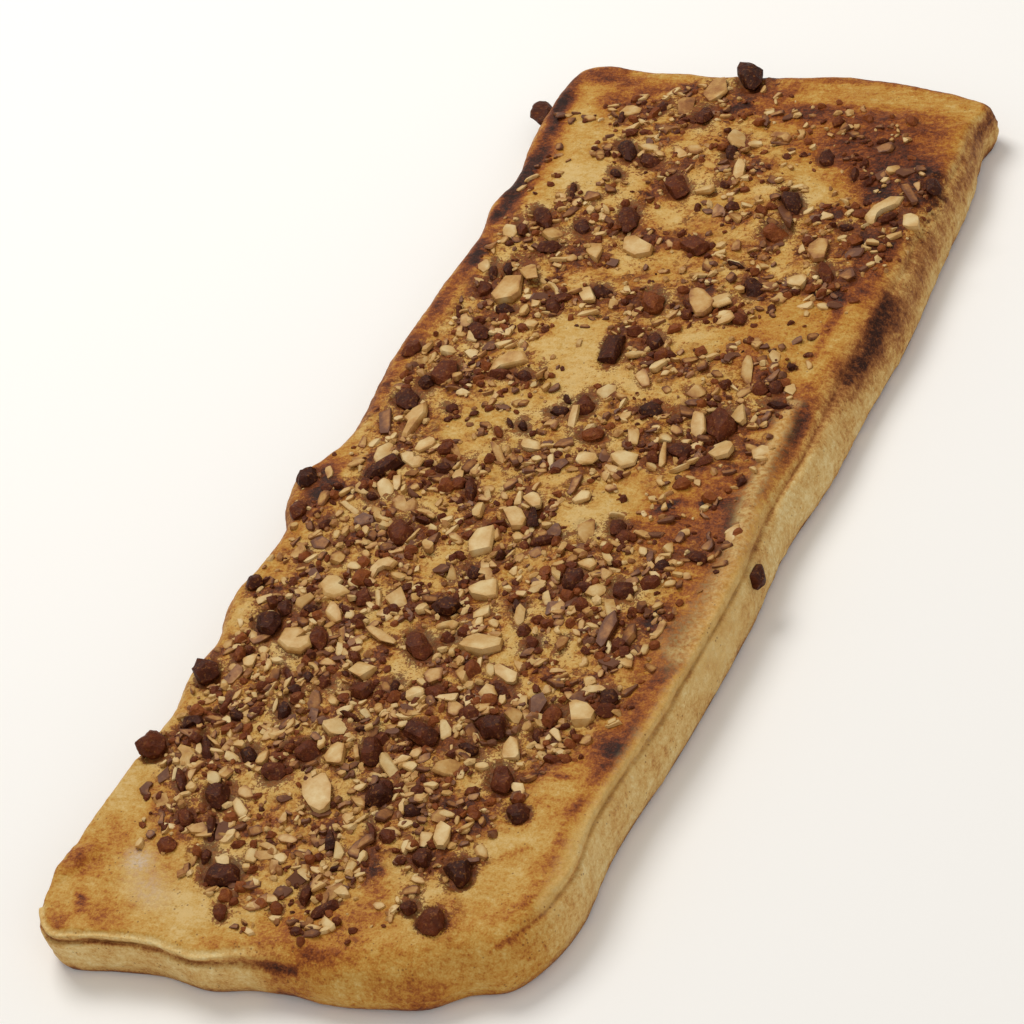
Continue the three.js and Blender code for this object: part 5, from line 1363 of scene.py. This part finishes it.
def almond_material():
    m = bpy.data.materials.new("toasted_almond")
    n = Nodes(m)
    tone = n.attr("tone")
    rim = n.attr("rim")
    a = n.noise(3.0, 4.0, 0.55, 2.4)
    c = n.noise(0.8, 3.0, 0.6, 7.1)
    v = n.math("ADD", tone, n.math("MULTIPLY", n.math("SUBTRACT", a, 0.5), 0.75))
    v = n.math("ADD", v, n.math("MULTIPLY", n.math("SUBTRACT", c, 0.5), 0.30))
    v = n.math("ADD", v, n.math("MULTIPLY", rim, 0.36))
    colour = n.ramp(
        v,
        [
            (0.00, srgb(216, 190, 138, GAIN)),
            (0.25, srgb(203, 168, 110, GAIN)),
            (0.50, srgb(188, 143, 78, GAIN)),
            (0.75, srgb(150, 96, 44, GAIN)),
            (1.00, srgb(100, 55, 26, GAIN)),
        ],
    )
    n.link(colour, n.bsdf.inputs["Base Color"])
    n.link(n.math("ADD", n.math("MULTIPLY", a, 0.25), 0.42), n.bsdf.inputs["Roughness"])
    n.bsdf.inputs["Specular IOR Level"].default_value = 0.35
    h = n.math("ADD", n.math("MULTIPLY", a, 0.5), n.math("MULTIPLY", c, 0.2))
    n.link(n.bump(h, 0.5, 0.5), n.bsdf.inputs["Normal"])
    return m


CRUST, CHOCOLATE, ALMOND = crust_material(), chocolate_material(), almond_material()

# ---- the slab object ---------------------------------------------------------------
slab_mesh = new_mesh("crust", metres(P), QUADS, TRIS)
float_attribute(slab_mesh, "bake", bake)
float_attribute(slab_mesh, "stain_and_contact_shade", stain_and_contact_shade)
float_attribute(slab_mesh, "flour", flour)
float_attribute(slab_mesh, "wall", wall)
float_attribute(slab_mesh, "busy", busy)
float_attribute(slab_mesh, "cream", cream)

# a flat layout for the top and the underside, and unrolled strips for the walls
uv = slab_mesh.uv_layers.new(name="OFBake")
nf = len(slab_mesh.polygons)
loops = np.empty(len(slab_mesh.loops), np.int32)
slab_mesh.loops.foreach_get("vertex_index", loops)
starts = np.empty(nf, np.int32)
slab_mesh.polygons.foreach_get("loop_start", starts)
totals = np.empty(nf, np.int32)
slab_mesh.polygons.foreach_get("loop_total", totals)
face_of = np.repeat(np.arange(nf), totals)
tag_min = np.minimum.reduceat(TAG[loops], starts)
tag_max = np.maximum.reduceat(TAG[loops], starts)
SCALE = 0.98 / 372.0
co = P
flat = np.stack([(co[:, 1] + 180) * SCALE + 0.008, (co[:, 0] + 74) * SCALE], -1)
uvs = np.zeros((len(loops), 2))
is_top = (tag_max < 0.55)
is_under = (tag_min > 2.2) | ((tag_max > 2.5) & (tag_min > 1.9))
is_wall = ~(is_top | is_under)
lt = is_top[face_of]
uvs[lt] = flat[loops[lt]] + [0, 0.006]
lu = is_under[face_of]
uvs[lu] = flat[loops[lu]] + [0, 0.400]
n_ring = len(OUTER)
ring_s = np.zeros(n_ring + 1)
ring_s[1:] = np.cumsum(np.hypot(*(np.roll(OUTER, -1, 0) - OUTER).T))
column = np.full(len(P), -1)
row_len = np.zeros(len(P))
previous = None
acc = np.zeros(n_ring)
for rg in WALL_RINGS:
    column[rg] = np.arange(n_ring)
    if previous is not None:
        acc = acc + np.linalg.norm(P[rg] - P[previous], axis=1)
    row_len[rg] = acc
    previous = rg
side_start = np.cumsum([0, NS, NL, NS, NL])
strips = {0: (0.0, 0.800), 2: (0.45, 0.800), 1: (0.0, 0.868), 3: (0.0, 0.936)}
lw = np.nonzero(is_wall[face_of])[0]
cols = column[loops[lw]]
fcol_min = np.full(nf, 10**9)
fcol_max = np.full(nf, -1)
np.minimum.at(fcol_min, face_of[lw], cols)
np.maximum.at(fcol_max, face_of[lw], cols)
wrap = (fcol_max - fcol_min)[face_of[lw]] > n_ring // 2
cc = np.where(wrap & (cols == 0), n_ring, cols)
first = np.where(wrap, n_ring - 1, fcol_min[face_of[lw]])
sd = np.searchsorted(side_start, first, side="right") - 1
off_u = np.array([strips[int(k)][0] for k in range(4)])[sd]
off_v = np.array([strips[int(k)][1] for k in range(4)])[sd]
s0 = ring_s[side_start[sd]]
uvs[lw, 0] = (ring_s[cc] - s0) * SCALE + off_u + 0.006
uvs[lw, 1] = row_len[loops[lw]] * SCALE * 0.9 + off_v
uv.data.foreach_set("uv", uvs.astype(np.float32).ravel())

slab = put("crust", slab_mesh, CRUST)
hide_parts("pastry_dough")
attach(slab, "root")


# ---- toppings ------------------------------------------------------------------------
def icosphere(level):
    g = (1 + 5**0.5) / 2
    v = [(-1, g, 0), (1, g, 0), (-1, -g, 0), (1, -g, 0), (0, -1, g), (0, 1, g), (0, -1, -g), (0, 1, -g), (g, 0, -1), (g, 0, 1), (-g, 0, -1), (-g, 0, 1)]
    f = [(0, 11, 5), (0, 5, 1), (0, 1, 7), (0, 7, 10), (0, 10, 11), (1, 5, 9), (5, 11, 4), (11, 10, 2), (10, 7, 6), (7, 1, 8), (3, 9, 4), (3, 4, 2), (3, 2, 6), (3, 6, 8), (3, 8, 9), (4, 9, 5), (2, 4, 11), (6, 2, 10), (8, 6, 7), (9, 8, 1)]
    v = [np.array(p) / np.linalg.norm(p) for p in v]
    for _ in range(level):
        mids, new = {}, []

        def mid(a, b):
            k = (min(a, b), max(a, b))
            if k not in mids:
                m = v[a] + v[b]
                v.append(m / np.linalg.norm(m))
                mids[k] = len(v) - 1
            return mids[k]

        for a, b, c in f:
            ab, bc, ca = mid(a, b), mid(b, c), mid(c, a)
            new += [(a, ab, ca), (b, bc, ab), (c, ca, bc), (ab, bc, ca)]
        f = new
    return np.array(v), np.array(f)


SPHERES = {0: icosphere(0)}


def radial(shape, length, width, az):
    """Distance from the middle to the plan's edge in each direction."""
    q = np.array(PLANS[shape]) * [length, width]
    a, b = q, np.roll(q, -1, 0)
    d = np.stack([np.cos(az), np.sin(az)], -1)[:, None, :]
    e = (b - a)[None]
    den = d[..., 0] * e[..., 1] - d[..., 1] * e[..., 0]
    den = np.where(np.abs(den) < 1e-9, 1e-9, den)
    s = (a[None, :, 0] * e[..., 1] - a[None, :, 1] * e[..., 0]) / den
    m = (a[None, :, 0] * d[..., 1] - a[None, :, 1] * d[..., 0]) / den
    s = np.where((s > 0) & (m >= -1e-6) & (m <= 1 + 1e-6), s, 1e9)
    return s.min(1)


def hull(bm):
    out = bmesh.ops.convex_hull(bm, input=list(bm.verts), use_existing_faces=False)
    loose = [g for g in out["geom_interior"] if isinstance(g, bmesh.types.BMVert) and g.is_valid]
    if loose:
        bmesh.ops.delete(bm, geom=loose, context="VERTS")
    loose = [v for v in bm.verts if not v.link_faces]
    if loose:
        bmesh.ops.delete(bm, geom=loose, context="VERTS")
    bmesh.ops.dissolve_limit(bm, angle_limit=0.03, verts=bm.verts, edges=bm.edges)


def cut(bm, point, normal):
    """Break a convex piece off along a plane and close it again."""
    bmesh.ops.bisect_plane(bm, geom=list(bm.verts) + list(bm.edges) + list(bm.faces), plane_co=point, plane_no=normal, clear_outer=True)
    points = [tuple(v.co) for v in bm.verts]
    if len(points) < 5:
        return
    bm.clear()
    for p in points:
        bm.verts.new(p)
    hull(bm)


CONCAVE = ("cresc", "notch", "spoon", "heart")


def piece(kind, shape, length, width, thick, seed, rounded):
    """A chip or a chopped nut round its own middle, and how near each point is to its rim."""
    rs = np.random.RandomState(seed)
    size = min(length, width)
    ring = np.array(PLANS[shape]) * [length, width]
    ring = ring + rs.normal(size=ring.shape) * (0.035 if kind == "c" else 0.065) * size
    half = thick / 2
    bm = bmesh.new()
    slope = rs.uniform(-0.3, 0.3, 2)

    def level(scale, z, shift=0.0):
        q = ring * scale + rs.normal(size=2) * shift * size
        tilt = 1 + slope[0] * q[:, 0] / (length / 2) + slope[1] * q[:, 1] / (width / 2)
        return np.c_[q, z * np.clip(tilt, 0.5, 1.5)]

    if shape in CONCAVE:
        levels = [level(0.86, -half), level(1.0, -0.2 * half), level(0.97, 0.45 * half), level(0.80, half)]
        rows = [[bm.verts.new(p) for p in lv] for lv in levels]
        m = len(ring)
        bm.faces.new(list(reversed(rows[0])))
        bm.faces.new(rows[-1])
        for a, b in zip(rows[:-1], rows[1:]):
            for i in range(m):
                j = (i + 1) % m
                bm.faces.new((a[i], a[j], b[j], b[i]))
    else:
        if kind == "c":
            levels = [level(0.8, -half, 0.03), level(1.0, -0.1 * half, 0.02), level(0.66, half * 0.92, 0.09), level(0.2, half * 1.15, 0.10)]
        else:
            levels = [level(0.9, -half, 0.02), level(1.0, 0.1 * half), level(0.93, half, 0.02), level(0.5, half * 1.08, 0.04)]
        for lv in levels:
            for p in lv:
                bm.verts.new(p)
        hull(bm)
        for _ in range(rs.randint(3, 6) if kind == "c" else rs.randint(3, 6)):
            nrm = rs.normal(size=3)
            nrm[2] = abs(nrm[2]) if kind == "c" else 0.25 * nrm[2]
            nrm /= np.linalg.norm(nrm)
            reach = max(float(np.dot(v.co, nrm)) for v in bm.verts)
            cut(bm, Vector(nrm * reach * (rs.uniform(0.74, 0.92) if kind == "c" else rs.uniform(0.58, 0.86))), Vector(nrm))
    if rounded:
        bmesh.ops.recalc_face_normals(bm, faces=bm.faces)
        ease = (0.09 if kind == "c" else 0.04) + (0.015 if kind == "c" else 0.008) * size
        bmesh.ops.bevel(bm, geom=list(bm.edges), offset=min(ease, 0.12 * thick), offset_type="OFFSET", segments=2, profile=0.6, affect="EDGES", clamp_overlap=True)
    bmesh.ops.triangulate(bm, faces=bm.faces)
    if rounded > 1:
        long_edges = [e for e in bm.edges if e.calc_length() > 0.16 * length + 0.5]
        bmesh.ops.subdivide_edges(bm, edges=long_edges, cuts=2, use_grid_fill=True)
        bmesh.ops.triangulate(bm, faces=bm.faces)
    bmesh.ops.recalc_face_normals(bm, faces=bm.faces)
    bm.verts.index_update()
    pts = np.array([tuple(v.co) for v in bm.verts])
    faces = np.array([[v.index for v in f.verts] for f in bm.faces])
    bm.free()
    amount = (0.075 if kind == "c" else 0.028) * (1.8 if shape == "lump" and kind == "c" else 1.0)
    rough = perlin(pts + seed * 3.7, 0.42 * size + 0.6, 61) * amount * size
    if kind == "c":
        rough = rough + perlin(pts + seed * 1.9, 1.1, 62) * 0.22
    length_of = np.maximum(np.linalg.norm(pts / [length, width, thick], axis=1, keepdims=True), 1e-6)
    pts = pts + pts / [length, width, thick] / length_of * rough[:, None]
    az = np.arctan2(pts[:, 1], pts[:, 0])
    near = np.hypot(pts[:, 0], pts[:, 1]) / np.maximum(radial(shape, length, width, az), 1e-3)
    rim = np.clip((near - 0.62) / 0.32, 0, 1)
    return pts, faces, rim


def crumb(lengths, seed):
    """A jagged crumb of 20 facets."""
    rs = np.random.RandomState(seed)
    d, faces = SPHERES[0]
    pts = d * rs.uniform(0.66, 1.12, size=(len(d), 1)) * np.array(lengths) / 2
    return pts, faces, np.zeros(len(pts))


def turned(t, seed, lean, loose=False):
    rs = np.random.RandomState(seed + 500)
    a = math.radians(t["turn"])
    h = 2.0
    sx = (crust_height(t["x"] + h, t["y"]) - crust_height(t["x"] - h, t["y"])) / (2 * h)
    sy = (crust_height(t["x"], t["y"] + h) - crust_height(t["x"], t["y"] - h)) / (2 * h)
    if loose:
        sx = np.clip((surface_here(t["x"] + h, t["y"]) - surface_here(t["x"] - h, t["y"])) / (2 * h), -0.7, 0.7)
        sy = np.clip((surface_here(t["x"], t["y"] + h) - surface_here(t["x"], t["y"] - h)) / (2 * h), -0.7, 0.7)
    normal = Vector((-sx, -sy, 1)).normalized()
    q = Vector((0, 0, 1)).rotation_difference(normal)
    m = q.to_matrix() @ Matrix.Rotation(rs.uniform(-lean, lean), 3, "X") @ Matrix.Rotation(rs.uniform(-lean, lean), 3, "Y") @ Matrix.Rotation(a, 3, "Z")
    return np.array(m)


plan_d = np.concatenate([along(CURVES[s], np.arange(300) / 300) for s in SIDES])


def edge_distance(px, py):
    return np.hypot(plan_d[:, 0] - px, plan_d[:, 1] - py).min()


CRUST_TREE = BVHTree.FromPolygons(P.tolist(), QUADS.tolist() + TRIS.tolist())


def surface_here(px, py):
    """Height of the finished crust straight below a place."""
    hit = CRUST_TREE.ray_cast(Vector((px, py, 60.0)), Vector((0, 0, -1)))[0]
    if hit is not None:
        return hit.z
    a, b = np.array([px]), np.array([py])
    return float((crust_height(a, b) + relief(a, b))[0])


batches = {"chocolate_small": [], "almond_small": [], "chocolate_bits": [], "nut_shards": [], "crumbs_brown": [], "crumbs_pale": []}


def tone_of(kind, rs):
    if kind == "c":
        return rs.choice([0.12, 0.3, 0.5, 0.75], p=[0.3, 0.34, 0.24, 0.12]) + rs.uniform(-0.06, 0.06)
    if kind == "b":
        return rs.uniform(0.62, 0.85)
    return rs.choice([0.08, 0.22, 0.4], p=[0.5, 0.32, 0.18]) + rs.uniform(-0.05, 0.05)


for k, t in enumerate(toppings):
    rs = np.random.RandomState(1000 + k)
    chocolate = t["kind"] == "c"
    big = t["node"] is not None
    size = math.sqrt(t["L"] * t["W"])
    shape, high = t["shape"], t["H"]
    if not chocolate and not big:
        high = min(high, 1.25)
        if shape in ("drop", "oval", "round", "half", "lens", "egg") and rs.rand() < 0.55:
            shape = rs.choice(["wedge", "tri", "shard"])
    pts, faces, rim = piece(t["kind"], shape, t["L"], t["W"], high, 10 + k, 2 if size > 4.5 and chocolate else 1)
    lean = 0.10 if big else (0.20 if chocolate else 0.36)
    pts = pts @ turned(t, k, lean, not big).T
    inward = edge_distance(t["x"], t["y"])
    if big or inward <= 4:
        z = t["z"]
    else:
        z = surface_here(t["x"], t["y"]) + 0.14 * t["H"]
    pts = pts + [t["x"], t["y"], z]
    tone = tone_of(t["kind"], rs)
    tones = tone + 0.16 * perlin(pts, 3.0, 63)
    if big:
        me = new_mesh(t["node"] + "_look", metres(pts), None, faces)
        me.set_sharp_from_angle(angle=math.radians(16 if not chocolate else 20))
        float_attribute(me, "tone", tones)
        float_attribute(me, "rim", rim)
        ob = put(t["node"] + "_look", me, CHOCOLATE if chocolate else ALMOND)
        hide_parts(t["node"])
        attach(ob, "root")
    else:
        batches["chocolate_small" if chocolate else "almond_small"].append((pts, faces, rim, tones))

# shards, chopped bits and crumbs between them
rs = np.random.RandomState(77)
poly = np.array(STREWN, float)


def in_poly(px, py):
    a, b = poly, np.roll(poly, -1, 0)
    c = ((a[:, 1] > py) != (b[:, 1] > py)) & (px < (b[:, 0] - a[:, 0]) * (py - a[:, 1]) / (b[:, 1] - a[:, 1] + 1e-12) + a[:, 0])
    return c.sum() % 2 == 1


tx = np.array([t["x"] for t in toppings])
ty = np.array([t["y"] for t in toppings])
ta = np.radians([t["turn"] for t in toppings])
tl = np.array([t["L"] for t in toppings])
tw = np.array([t["W"] for t in toppings])


def paleness(p):
    out = np.zeros(len(p))
    for px, py, a, b, turn, change, what in PATCHES:
        if what == "b" and change < 0:
            r = math.radians(turn)
            dx, dy = p[:, 0] - px, p[:, 1] - py
            u = (dx * math.cos(r) + dy * math.sin(r)) / a
            v = (-dx * math.sin(r) + dy * math.cos(r)) / b
            out -= change * np.exp(-(u * u + v * v))
    return out


def scatter(count, spread, grow, seed, least):
    """Places among the toppings but clear of them."""
    r = np.random.RandomState(seed)
    cand = []
    while len(cand) < count * 5:
        j = r.randint(len(tx))
        cx, cy = tx[j] + r.normal() * spread, ty[j] + r.normal() * spread
        if r.rand() < 0.15:
            cx, cy = r.uniform(-64, 66), r.uniform(-172, 176)
        if not in_poly(cx, cy):
            continue
        dx, dy = cx - tx, cy - ty
        u = (dx * np.cos(ta) + dy * np.sin(ta)) / (tl / 2 + grow)
        v = (-dx * np.sin(ta) + dy * np.cos(ta)) / (tw / 2 + grow)
        if (u * u + v * v).min() < 1:
            continue
        cand.append((cx, cy))
    cand = np.array(cand)
    inward = np.array([edge_distance(a, b) for a, b in cand])
    clump = perlin(np.c_[cand, np.zeros(len(cand))], 11.0, 81)
    keep = (inward > least) & (r.rand(len(cand)) < 0.5 + 1.0 * clump - 1.9 * paleness(cand))
    cand = cand[keep][:count]
    return cand, np.array([surface_here(a, b) for a, b in cand]), perlin(np.c_[cand, np.zeros(len(cand))], 8.0, 82)


cand, cz, tint = scatter(1650, 8.5, 0.4, 78, 5.5)
for made, (cx, cy) in enumerate(cand):
    kind = rs.choice(["a", "b", "c"], p=[0.46, 0.27, 0.27])
    s = float(np.clip(rs.lognormal(1.15 if kind != "c" else 1.1, 0.32), 1.8, 6.0))
    if kind == "c":
        lengths = s, s * rs.uniform(0.6, 0.95), s * rs.uniform(0.35, 0.55)
        shape = rs.choice(["lump", "chip", "wedge", "shard", "block"])
        tone = rs.uniform(0.35, 0.95)
    else:
        lengths = s * 1.15, s * rs.uniform(0.35, 0.8), rs.uniform(0.6, 1.1)
        shape = rs.choice(["shard", "tri", "wedge", "lens", "sliver", "stick", "flake", "cresc", "half"])
        tone = rs.uniform(0.05, 0.5) if kind == "a" else rs.uniform(0.6, 0.95)
    pts, faces, rim = piece(kind, shape, *lengths, 6000 + made, 0)
    t = dict(x=cx, y=cy, turn=rs.uniform(0, 360))
    pts = pts @ turned(t, 7000 + made, 0.32, True).T + [cx, cy, cz[made] + 0.12 * lengths[2] + 0.1]
    batches["chocolate_bits" if kind == "c" else "nut_shards"].append((pts, faces, rim, np.full(len(pts), tone)))

cand, cz, tint = scatter(2600, 7.0, -0.3, 79, 4.5)
for made, (cx, cy) in enumerate(cand):
    s = float(np.clip(rs.lognormal(0.52, 0.34), 0.8, 3.2))
    shift = float(np.clip(tint[made] * 1.2, -0.22, 0.3))
    kind = rs.choice(["a", "b", "c"], p=[0.37 - shift, 0.29, 0.34 + shift])
    lengths = s * rs.uniform(1.0, 1.5), s * rs.uniform(0.7, 1.0), s * rs.uniform(0.45, 0.75)
    pts, faces, rim = crumb(lengths, 3000 + made)
    t = dict(x=cx, y=cy, turn=rs.uniform(0, 360))
    pts = pts @ turned(t, 9000 + made, 0.5, True).T + [cx, cy, cz[made] + 0.12 * lengths[2]]
    tone = {"a": rs.uniform(0.2, 0.65), "b": rs.uniform(0.6, 1.0), "c": rs.uniform(0.3, 0.95)}[kind]
    batches["crumbs_brown" if kind == "c" else "crumbs_pale"].append((pts, faces, rim, np.full(len(pts), tone)))

for name, items in batches.items():
    vs, fs, tn, rm = [], [], [], []
    base_i = 0
    for pts, faces, rim, tone in items:
        vs.append(pts)
        fs.append(faces + base_i)
        tn.append(tone)
        rm.append(rim)
        base_i += len(pts)
    me = new_mesh(name, metres(np.concatenate(vs)), None, np.concatenate(fs))
    me.set_sharp_from_angle(angle=math.radians(20 if name.startswith("choc") else 16))
    float_attribute(me, "tone", np.concatenate(tn))
    float_attribute(me, "rim", np.concatenate(rm))
    chocolate = name in ("chocolate_small", "chocolate_bits", "crumbs_brown")
    ob = put(name, me, CHOCOLATE if chocolate else ALMOND)
    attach(ob, "root")
    print(name, len(items), "pieces", len(me.polygons), "faces")
print("slab faces", len(slab_mesh.polygons))

# ---- floor, light, camera ----------------------------------------------------------
floor_mat = bpy.data.materials.new("pale_floor")
fn = Nodes(floor_mat)
fn.bsdf.inputs["Base Color"].default_value = (0.90, 0.90, 0.90, 1)
fn.bsdf.inputs["Roughness"].default_value = 0.9
fm = new_mesh("floor", np.array([(-3, -3, -0.0004), (3, -3, -0.0004), (3, 3, -0.0004), (-3, 3, -0.0004)]), np.array([[0, 1, 2, 3]]))
floor = put("floor", fm, floor_mat)

world = bpy.data.worlds.new("soft_room")
bpy.context.scene.world = world
world.use_nodes = True
world.node_tree.nodes["Background"].inputs[0].default_value = (1.0, 0.97, 0.92, 1)
world.node_tree.nodes["Background"].inputs[1].default_value = 0.5


def area(name, place, aim, size, power, colour):
    data = bpy.data.lights.new(name, "AREA")
    data.energy = power
    data.size = size
    data.color = colour
    ob = bpy.data.objects.new(name, data)
    ob.location = place
    ob.rotation_euler = (Vector(place) - Vector(aim)).to_track_quat("Z", "Y").to_euler()
    bpy.context.scene.collection.objects.link(ob)
    return ob


area("window", (-0.55, 0.35, 1.1), (0, 0, 0), 0.6, 10, (1.0, 0.96, 0.89))
area("room", (0.9, -0.9, 0.8), (0, 0, 0), 1.2, 4.2, (1.0, 0.95, 0.88))

cam_data = bpy.data.cameras.new("camera")
cam_data.lens = 105
cam_data.sensor_width = 36
cam = bpy.data.objects.new("camera", cam_data)
bpy.context.scene.collection.objects.link(cam)
az, el, roll = math.radians(33), math.radians(38.5), math.radians(15.3)
back = Vector((math.sin(az) * math.cos(el), -math.cos(az) * math.cos(el), math.sin(el)))
right_v = Vector((math.cos(az), math.sin(az), 0))
up_v = back.cross(right_v)
cx_v = right_v * math.cos(roll) - up_v * math.sin(roll)
cy_v = right_v * math.sin(roll) + up_v * math.cos(roll)
place = Vector(metres([-14.4, -7.5, 0])) + back * 0.779
cam.matrix_world = Matrix(((cx_v.x, cy_v.x, back.x, place.x), (cx_v.y, cy_v.y, back.y, place.y), (cx_v.z, cy_v.z, back.z, place.z), (0, 0, 0, 1)))
bpy.context.scene.camera = cam
bpy.context.scene.view_settings.view_transform = "Standard"
bpy.context.scene.view_settings.look = "None"
